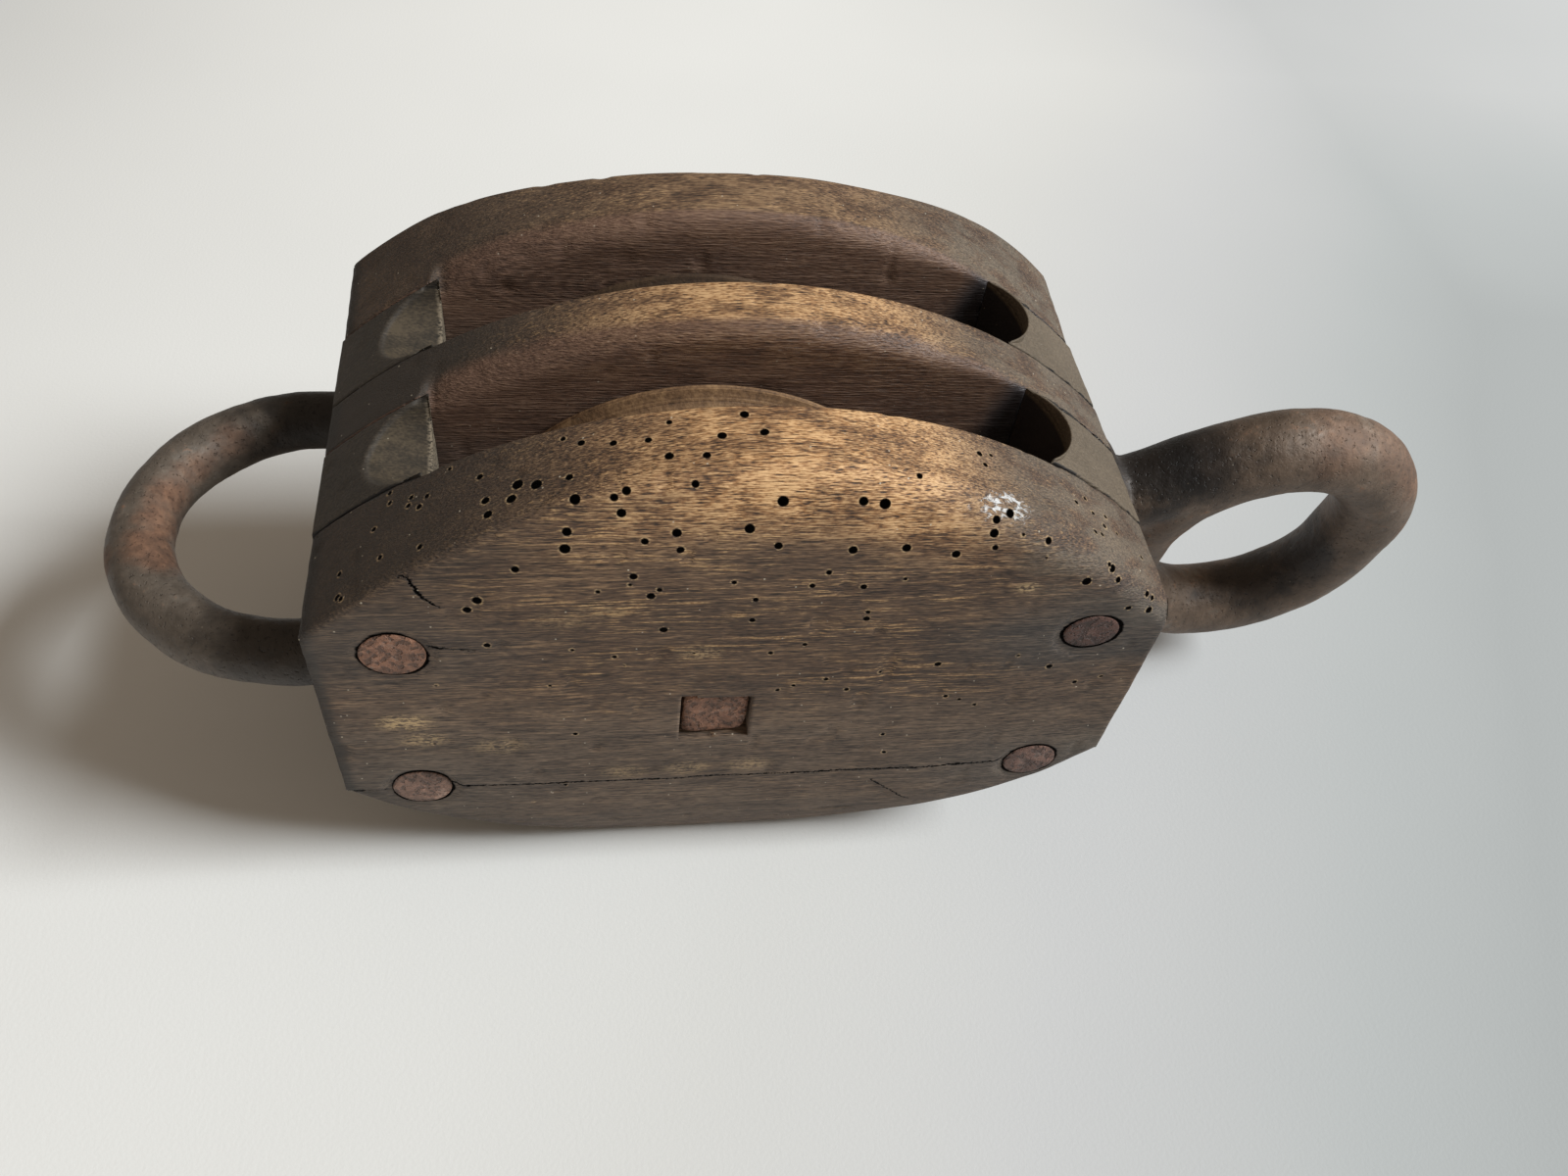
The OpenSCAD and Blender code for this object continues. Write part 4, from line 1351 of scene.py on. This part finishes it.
def add_holes(piece, middles, radii):
    """Gives each face the middle and the radius of its nearest hole, or radius 0 if far.

    A middle is first moved to the nearest face's depth, so that distances to it are true on
    the surface.
    """
    places = read_values(piece.data.polygons, "center", 3).reshape(-1, 3)
    count = len(places)
    nearest = np.full(count, np.inf)
    middle_of = np.zeros((count, 3))
    radius_of = np.zeros(count)
    for middle, radius in zip(middles, radii):
        seat = places[np.argmin(np.linalg.norm(places - middle, axis=1))]
        middle = middle + (seat - middle) * (np.abs(seat - middle) > LEVEL_SLACK)
        beyond = np.linalg.norm(places - middle, axis=1) - radius
        closer = (beyond < nearest) & (beyond < HOLE_REACH)
        nearest = np.where(closer, beyond, nearest)
        middle_of[closer] = middle
        radius_of[closer] = radius
    middle_field = piece.data.attributes.new("hole_middle", "FLOAT_VECTOR", "FACE")
    middle_field.data.foreach_set("vector", middle_of.ravel())
    radius_field = piece.data.attributes.new("hole_radius", "FLOAT", "FACE")
    radius_field.data.foreach_set("value", radius_of)
    print(piece.name, "holes:", len(radii), "faces near one:", int((radius_of > 0).sum()))


def scattered_holes(count, seed):
    """Middles and radii of holes at random on the upper half of the rear cheek's outer face."""
    rng = np.random.default_rng(seed)
    along = rng.uniform(-80, 85, count) * MM
    height = (rng.beta(2.2, 1.3, count) * 75 - 5) * MM
    inside = height < edge_height(middle_x + along) - 3 * MM
    along, height = along[inside], height[inside]
    middles = np.stack([middle_x + along, outer_face - crown_drop(height), middle_z + height],
                       axis=1)
    return middles, rng.uniform(0.5, 1.1, len(along)) * MM


# %% Cheeks
front_points, front_quads = cheek_surface(-1, seed=11)
front_points, front_levels = seat_rivets(front_points)
front_cheek = make_piece("front_cheek_wood", *mirrored(sink_square(front_points), front_quads, -1),
                         front_wood, "shell_wood", "front_cheek")
rear_points, rear_quads = cheek_surface(1, seed=23)
rear_points, rear_levels = seat_rivets(rear_points)
rear_cheek = make_piece("rear_cheek_wood", rear_points, rear_quads,
                        rear_wood, "shell_wood", "rear_cheek")

face_holes, rim_holes = np.array(FACE_HOLES) * MM, np.array(RIM_HOLES) * MM
face_middles = np.stack([middle_x + face_holes[:, 0], -outer_face + crown_drop(face_holes[:, 1]),
                         middle_z + face_holes[:, 1]], axis=1)
rim_middles = np.stack([middle_x + rim_holes[:, 0], rim_holes[:, 1],
                        middle_z + edge_height(middle_x + rim_holes[:, 0])], axis=1)
add_holes(front_cheek, np.concatenate([face_middles, rim_middles]),
          np.concatenate([face_holes[:, 2], rim_holes[:, 2]]))
add_holes(rear_cheek, *scattered_holes(64, seed=5))

# %% [markdown]
# ## Partition
#
# A thinner plank between the slots. The rope of the near slot has rounded its front rim,
# and its rear rim is still crisp.

# %% Partition


def partition_surface(seed):
    """The middle plank: a bent box with its front rim rounded along the slots."""
    points, quads = box_lattice(ruled(tail_end, head_end, STEP),
                                ruled(-partition_face, partition_face, STEP * 0.9),
                                ruled(-half_height, half_height, STEP))
    x, y, z = to_outline(points).T
    worn = np.where(y < 0, slot_rim_round(x), CRISP_ROUND)
    face_depth, rim_depth = eased(partition_face - np.abs(y), edge_height(x) - np.abs(z),
                                  inner_round(x, worn))
    y = np.sign(y) * (partition_face - face_depth)
    z = np.sign(z) * (edge_height(x) - rim_depth)
    return roughen(np.stack([x, y, z], axis=1), quads, seed, 0.8), quads


make_piece("partition_wood", *partition_surface(seed=37),
           partition_wood, "partition_wood", "partition")

# %% [markdown]
# ## End blocks
#
# Short blocks fill the slots at both ends. At the tail, ropes ran out over them, and the
# maker gouged a scoop at each edge for that. At the head, the wall of the slot is hollowed
# by two leaning round cuts that meet in the middle. All these hollows are the shape of a
# round bar. A scoop lowers the block's edge, so each column of points is shortened to the
# bar's underside. For the hollow in the wall, points inside the bar are pushed straight out.

# %% End blocks
SEAM_GAP = 0.25 * MM
SCOOP_REACH = 15 * MM
SCOOP_FALL = 5 * MM
SWALLOW_DEPTH = 8.5 * MM
SWALLOW_ROOT = 1.0 * MM
hollow_half = (slot_wall - partition_face) / 2 - 0.5 * MM
swallow_radius = (hollow_half ** 2 + SWALLOW_DEPTH ** 2) / (2 * SWALLOW_DEPTH)


def scoop_height(x, y):
    """Height of the underside of the bar that cuts a scoop, or a large height beside it.

    The bar's lowest line runs from the shell's edge at the mouth down to the tail wall.
    """
    mouth_x = tail_wall - SCOOP_REACH
    slope = math.atan2(SCOOP_FALL, SCOOP_REACH)
    lowest = edge_height(mouth_x) - (x - mouth_x) * math.tan(slope)
    across = np.clip(np.abs(y - slot_middle), 0, hollow_half)
    underside = lowest + (hollow_half - np.sqrt(hollow_half ** 2 - across ** 2)) / math.cos(slope)
    return np.where(np.abs(y - slot_middle) < hollow_half, underside, half_height)


def block_surface(side, from_x, to_x, scooped, hollows, seed):
    """A block between two places along the shell, with scoops or with hollows cut by bars."""
    fine = 0.7 * MM
    points, quads = box_lattice(ruled(from_x, to_x, fine),
                                ruled(partition_face + SEAM_GAP, slot_wall - SEAM_GAP, fine),
                                ruled(-half_height, half_height, fine))
    x, y, z = to_outline(points).T
    face = np.minimum(y - partition_face - SEAM_GAP, slot_wall - SEAM_GAP - y)
    new_face, rim_depth = eased(face, edge_height(x) - np.abs(z), SEAM_ROUND)
    if scooped:
        edge = edge_height(x)
        rim_depth = edge - (edge - rim_depth) * np.minimum(scoop_height(x, y) / edge, 1)
    y = y + np.where(y > slot_middle, face - new_face, new_face - face)
    z = np.sign(z) * (edge_height(x) - rim_depth)
    points = np.stack([x, y, z], axis=1)
    for start, direction, radius in hollows:
        points = push_out_of_bar(points, start, direction, radius)
    return mirrored(roughen(points, quads, seed, 0.6), quads, side)


def swallow_bar(level):
    """The leaning bar that cuts half of the head hollow, deepest at the block's edge."""
    top = edge_height(head_wall)
    lean = math.atan((SWALLOW_DEPTH - SWALLOW_ROOT) / top)
    deepest = np.array([head_wall + SWALLOW_DEPTH, slot_middle, level * top])
    run = np.array([math.sin(lean), 0.0, level * math.cos(lean)])
    return deepest - np.array([swallow_radius / math.cos(lean), 0.0, 0.0]), run, swallow_radius


for side, name in ((-1, "front"), (1, "rear")):
    make_piece(f"tail_block_{name}",
               *block_surface(side, tail_end, tail_wall, True, [], seed=50 + side),
               tail_block_wood, "spacer_wood", f"tail_spacer_{name}")
    make_piece(f"head_block_{name}",
               *block_surface(side, head_wall, head_end, False,
                              [swallow_bar(1), swallow_bar(-1)], seed=60 + side),
               head_block_wood, "grey_spacer_wood", f"head_spacer_{name}")

# %% [markdown]
# ## Pin and rivets
#
# They are turned round lines along Y. The pin starts square, so its outline is a rounded
# square that becomes a circle, and one worn corner is drawn in. A rivet's head was
# hammered flat into its seat, so its outline is not quite round.

# %% Pin
ANGLES = np.linspace(0, 2 * np.pi, 96, endpoint=False)
HEAD_SKIN = 1 * MM


def square_outline(power):
    """Distance to a rounded square of half width 1, at each angle: a superellipse."""
    return (np.abs(np.cos(ANGLES)) ** power + np.abs(np.sin(ANGLES)) ** power) ** (-1 / power)


def pin_surface():
    """Rings from the square end's middle outward, along the pin, and in to the far end's."""
    half = (pin_high[0] - pin_low[0]) / 2
    front, rear = pin_low[1], pin_high[1]
    fractions = [0.2, 0.4, 0.6, 0.8, 0.92, 0.98, 1, 1, 1, 1, 1, 1, 1, 0.93, 0.5]
    places = [0, 0, 0, 0, 0.1, 0.5, 1.1, 3, 8, 11.9, 12.1, 40]
    places = [front + p * MM for p in places] + [rear - p * MM for p in (0.8, 0.1, 0)]
    worn_corner = 1 - 0.09 * np.exp(-((ANGLES - np.radians(315)) / 0.30) ** 2)
    powers = [9] * 10 + [2] * 5
    outline = np.array([square_outline(p) * (worn_corner if p > 2 else 1) for p in powers])
    points, quads = turned(np.array(fractions) * half, places, outline, pin_x, pin_z)
    pounded = (smooth_noise(points, 3.5 * MM, 71) * 0.5 * MM
               + smooth_noise(points, 1.3 * MM, 72) * 0.25 * MM)
    points[:, 1] += np.where(points[:, 1] < front + HEAD_SKIN, pounded, 0)
    return points, quads


make_piece("square_ended_pin", *pin_surface(), pin_iron, "pin_iron", "centre_pin")

# %% Shell rivets
HEAD_SHARES = [0.25, 0.5, 0.75, 0.93, 0.98, 1, 1]
HEAD_STEPS = [-0.50, -0.49, -0.46, -0.38, -0.22, 0.3, 4.0, 4.0]
SHANK_RADIUS = 4.5 * MM
HEAD_PROUD = 0.05 * MM
WOBBLES = [0.05, 0.05, 0.12, 0.07]


def rivet_surface(place, front, rear, seed, wobble, flatness):
    """A shank with a hammered head at each end, between a front and a rear face.

    Flatness squeezes the heads from top to bottom, where 1 is round.
    """
    rng = np.random.default_rng(seed)
    half = [share * rivet_head_radius for share in HEAD_SHARES] + [SHANK_RADIUS]
    radii = half + half[::-1]
    steps = np.array(HEAD_STEPS) * MM
    places = np.concatenate([front + steps, rear - steps[::-1]])
    phases = rng.uniform(0, 2 * np.pi, 3)
    bent = sum(np.cos(turn * ANGLES + phase) / turn for turn, phase in zip((2, 3, 5), phases))
    outline = np.repeat((1 - wobble * (0.5 + 0.5 * bent / 1.7))[None], len(radii), axis=0)
    points, quads = turned(radii, places, outline, place[0], place[2])
    points[:, 2] = place[2] + (points[:, 2] - place[2]) * flatness
    dents = smooth_noise(points, 2.6 * MM, seed) * 0.20 * MM
    at_front, at_rear = points[:, 1] < front + HEAD_SKIN, points[:, 1] > rear - HEAD_SKIN
    points[:, 1] += np.where(at_front, dents, 0) - np.where(at_rear, dents, 0)
    return points, quads


for index, (node, place) in enumerate(zip(rivet_nodes, rivet_places)):
    surface = rivet_surface(place, -front_levels[index] - HEAD_PROUD,
                            rear_levels[index] + HEAD_PROUD,
                            80 + index, WOBBLES[index], HEAD_FLATNESS[index])
    make_piece(f"{node}_iron", *surface, rivet_irons[index], "rivet_iron", node)

# %% [markdown]
# ## Becket and strap
#
# The becket is a round bar bent to a half circle, whose legs go into the tail end and turn
# flat inside the cheeks, down to two tenons that come out of the crown plate at the head.
# The bar is a tube along its path, dented by the hammer. The flat arms and their tenons are
# box lattices in the same mesh, because they are one forging.

# %% Joining and forging
BECKET_BAR = 17.5 * MM
becket_middle = becket_high[1] - BECKET_BAR / 2
becket_z = pin_z + 2 * MM
becket_bend = becket_low[0] + BECKET_BAR / 2 + becket_middle


def joined(surfaces):
    """Several closed surfaces as one: points after points, quads renumbered."""
    starts = np.cumsum([0] + [len(points) for points, _ in surfaces[:-1]])
    return (np.concatenate([points for points, _ in surfaces]),
            np.concatenate([quads + start for (_, quads), start in zip(surfaces, starts)]))


def hammered(points, quads, seed, amount=1.0):
    """Moves points inward along their normals: broad dents, small facets and scale."""
    normals = vertex_normals(points, quads)
    dents = smooth_noise(points, 13 * MM, seed) * 0.9 * MM
    facets = smooth_noise(points, 5 * MM, seed + 1) * 0.30 * MM
    scale = smooth_noise(points, 1.8 * MM, seed + 2) * 0.14 * MM
    return points - normals * ((dents + facets + scale) * amount)[:, None], quads


def arc(centre, radius, start, stop, count, axes=(0, 1)):
    """Points on an arc between two angles in degrees, in the plane of two axes."""
    turn = np.radians(np.linspace(start, stop, count))
    points = np.repeat(np.array([centre], float), count, axis=0)
    points[:, axes[0]] += radius * np.cos(turn)
    points[:, axes[1]] += radius * np.sin(turn)
    return points


# %% Becket bar and strap arms
STRAP_THICKNESS = 9 * MM
STRAP_HALF = 15 * MM
TENON_HALF = 10 * MM


def becket_bar():
    """The bar: a leg, the half circle round the tail and the other leg, from inside the wood."""
    centre = (becket_bend, 0.0, becket_z)
    bend = arc(centre, becket_middle, 90, 270, 150)
    leg = np.linspace(tail_end + 9 * MM, becket_bend, 24)[:-1]
    far_leg = np.stack(np.broadcast_arrays(leg, becket_middle, becket_z), axis=1)
    path = np.concatenate([far_leg, bend, far_leg[::-1] * [1, -1, 1]])
    return hammered(*skin(tube(path, np.full(len(path), BECKET_BAR / 2), around=80)), seed=91)


def flat_bar(from_x, to_x, middle_y, half_up, step):
    """A flat bar of the strap's thickness along X, its long edges eased."""
    half = STRAP_THICKNESS / 2
    points, quads = box_lattice(ruled(from_x, to_x, step), ruled(-half, half, step),
                                ruled(-half_up, half_up, step))
    x, y, z = points.T
    flat, edge = eased(half - np.abs(y), half_up - np.abs(z), 1.2 * MM)
    y, z = np.sign(y) * (half - flat), np.sign(z) * (half_up - edge)
    end, flat = eased(to_x - x, half - np.abs(y), 1.0 * MM)
    x, y = to_x - end, np.sign(y) * (half - flat)
    end, edge = eased(to_x - x, half_up - np.abs(z), 1.0 * MM)
    x, z = to_x - end, np.sign(z) * (half_up - edge)
    return np.stack([x, y + middle_y, z + pin_z], axis=1), quads


tenon_end = becket_high[0]
strap_parts = [becket_bar()]
for side in (-1, 1):
    strap_parts.append(flat_bar(tail_end + 1 * MM, head_end - 0.5 * MM, side * becket_middle,
                                STRAP_HALF, 1.5 * MM))
    tenon = flat_bar(head_end - 2 * MM, tenon_end, side * becket_middle, TENON_HALF, 0.8 * MM)
    strap_parts.append(hammered(*tenon, seed=95, amount=0.35))
make_piece("becket_and_strap", *joined(strap_parts), becket_iron, "becket_iron", "becket_strap")

# %% [markdown]
# ## Head eye
#
# The eye is a thick ring, welded by two shoulders and a neck to the crown plate across the
# head end. A smith works that into one lump of iron without a seam. So the simple closed
# surfaces are joined, remeshed to one skin, smoothed where they meet and then dented.

# %% Eye parts
EYE_BAR = 24 * MM
EYE_RADIUS = 35.5 * MM
EYE_STRAIGHT = 10.5 * MM
EYE_LEAN = math.radians(9)
CROWN_THICKNESS = 9 * MM
CROWN_REACH = outer_face - 12 * MM
CROWN_HALF = 18 * MM
BOSS_RADIUS = 27 * MM
SHOULDER_OFFSET = 20 * MM
SHOULDER_SINK = 3.5 * MM
eye_x = eye_high[0] - EYE_BAR / 2 - EYE_RADIUS
eye_z = pin_z - 6 * MM


def eye_ring():
    """The ring: two half circles and two short straights, closed on itself."""
    half = EYE_STRAIGHT / 2
    upper = arc((0, 0, half), EYE_RADIUS, 0, 180, 120, axes=(0, 2))
    lower = arc((0, 0, -half), EYE_RADIUS, 180, 360, 120, axes=(0, 2))
    straight = np.linspace(0, 1, 12, endpoint=False)[1:, None]
    path = np.concatenate([upper, upper[-1] + (lower[0] - upper[-1]) * straight,
                           lower, lower[-1] + (upper[0] - lower[-1]) * straight])
    centre = np.array([0.0, 0.0, 1.0]) * np.clip(path[:, 2:], -half, half)
    across = (path - centre) / EYE_RADIUS
    return skin(rings_round(path, EYE_BAR / 2, across, np.array([0.0, 1.0, 0.0]), 64), loop=True)


def shoulder(level):
    """A flaring bar from the ring's bend down to the crown plate, above (1) or below (-1)."""
    to_crown = eye_x - head_end - CROWN_THICKNESS / 2
    rise = SHOULDER_OFFSET - EYE_STRAIGHT / 2
    distance = math.hypot(to_crown, rise)
    turn = math.pi - math.atan2(rise, to_crown) - math.acos(EYE_RADIUS / distance)
    start = np.array([EYE_RADIUS * math.cos(turn), 0.0,
                      EYE_STRAIGHT / 2 + EYE_RADIUS * math.sin(turn)])
    run = np.array([-math.sin(turn), 0.0, math.cos(turn)])
    length = math.sqrt(distance ** 2 - EYE_RADIUS ** 2)
    share = np.linspace(0, 1, 30)[:, None]
    path = start + run * length * share
    path = path - [0.0, 0.0, SHOULDER_SINK] * smoothstep(share, 0.1, 0.9)
    radii = EYE_BAR / 2 - 0.6 * MM * share[:, 0]
    points, quads = skin(tube(path, radii, around=56))
    points = points * [1, 1, level]
    return points, face_outward(points, quads)


def leaned(points, quads):
    """The eye's parts leaned about X and moved to the eye's middle, cut off flat at the wood."""
    x, y, z = points.T
    tilted = np.stack([x + eye_x, y * math.cos(EYE_LEAN) - z * math.sin(EYE_LEAN),
                       y * math.sin(EYE_LEAN) + z * math.cos(EYE_LEAN) + eye_z], axis=1)
    tilted[:, 0] = np.maximum(tilted[:, 0], head_end + 0.6 * MM)
    return tilted, quads


def crown_plate():
    """The plate: rings of its outline, carried through its thickness and closed at both ends.

    The outline is a long rounded bar with a round boss. At each angle it is the distance
    from the middle, the larger of bar and boss.
    """
    angle = np.linspace(0, 2 * np.pi, 240, endpoint=False)
    run, rise = np.abs(np.cos(angle)), np.abs(np.sin(angle))
    straight = CROWN_REACH - CROWN_HALF
    flat_side = CROWN_HALF / np.maximum(rise, 1e-9)
    round_end = straight * run + np.sqrt(np.maximum(CROWN_HALF ** 2 - (straight * rise) ** 2, 0))
    outline = np.maximum(np.where(flat_side * run < straight, flat_side, round_end), BOSS_RADIUS)
    inset = np.array([30, 12, 2.0, 0.5, 0, 0, 0.5, 2.0, 12, 30]) * MM
    full = CROWN_THICKNESS / MM
    depth = np.array([0, 0, 0, 0.4, 1.6, full - 2.2, full - 0.9, full - 0.3, full, full]) * MM
    reach = np.maximum(outline - inset[:, None], outline * 0.15)
    rings = np.stack([np.repeat(head_end + depth[:, None], len(angle), axis=1),
                      reach * np.cos(angle), pin_z + reach * np.sin(angle)], axis=-1)
    return skin(rings)


def neck():
    """The short stub that joins the ring's near side to the crown."""
    path = np.outer(np.linspace(-(eye_x - head_end) + 2 * MM, -EYE_RADIUS, 20), [1, 0, 0])
    across = np.broadcast_to([0.0, 1.0, 0.0], path.shape)
    return skin(rings_round(path, EYE_BAR / 2, across, np.array([0.0, 0.0, 1.0]), 56))


# %% Weld the eye into one skin


def welded(name, surfaces, voxel, smoothing):
    """Points and quads of one skin round several closed surfaces, by a voxel remesh.

    Each smoothing pass moves every point half way to the mean of its neighbours.
    """
    mesh = make_mesh(name, *joined(surfaces))
    lump = bpy.data.objects.new(name, mesh)
    bpy.context.scene.collection.objects.link(lump)
    remesh = lump.modifiers.new("weld", "REMESH")
    remesh.mode = "VOXEL"
    remesh.voxel_size = voxel
    result = lump.evaluated_get(bpy.context.evaluated_depsgraph_get()).to_mesh()
    points = read_values(result.vertices, "co", 3).reshape(-1, 3)
    quads = read_values(result.loops, "vertex_index", 1, int).reshape(-1, 4)
    bpy.data.objects.remove(lump)
    edges = np.concatenate([quads[:, [corner, (corner + 1) % 4]] for corner in range(4)])
    count = np.bincount(edges.ravel(), minlength=len(points))[:, None]
    for _ in range(smoothing):
        total = np.zeros_like(points)
        np.add.at(total, edges[:, 0], points[edges[:, 1]])
        np.add.at(total, edges[:, 1], points[edges[:, 0]])
        points = (points + total / count) / 2
    return points, face_outward(points, quads)


eye_parts = [leaned(*eye_ring()), leaned(*shoulder(1)), leaned(*shoulder(-1)), leaned(*neck()),
             crown_plate()]
eye_points, eye_quads = welded("eye_lump", eye_parts, 0.85 * MM, smoothing=6)
eye_points, eye_quads = hammered(eye_points, eye_quads, seed=101, amount=0.8)
eye_points[:, 0] = np.maximum(eye_points[:, 0], head_end)
make_piece("head_eye_iron", eye_points, eye_quads, eye_iron, "eye_iron", "head_eye")

# %% [markdown]
# ## Sheaves and coaks
#
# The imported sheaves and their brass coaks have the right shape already: a grooved disc
# turned on a lathe. They stay, and only get their materials.

# %% Give the kept nodes their materials


def refinish(node, material):
    """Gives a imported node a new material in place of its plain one."""
    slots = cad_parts[node].data.materials
    slots.clear()
    slots.append(material)


for node in ("front_coak", "rear_coak", "front_coak_rivets", "rear_coak_rivets"):
    refinish(node, brass_material)
for node, material in sheave_materials.items():
    refinish(node, material)
print("kept nodes: 6")
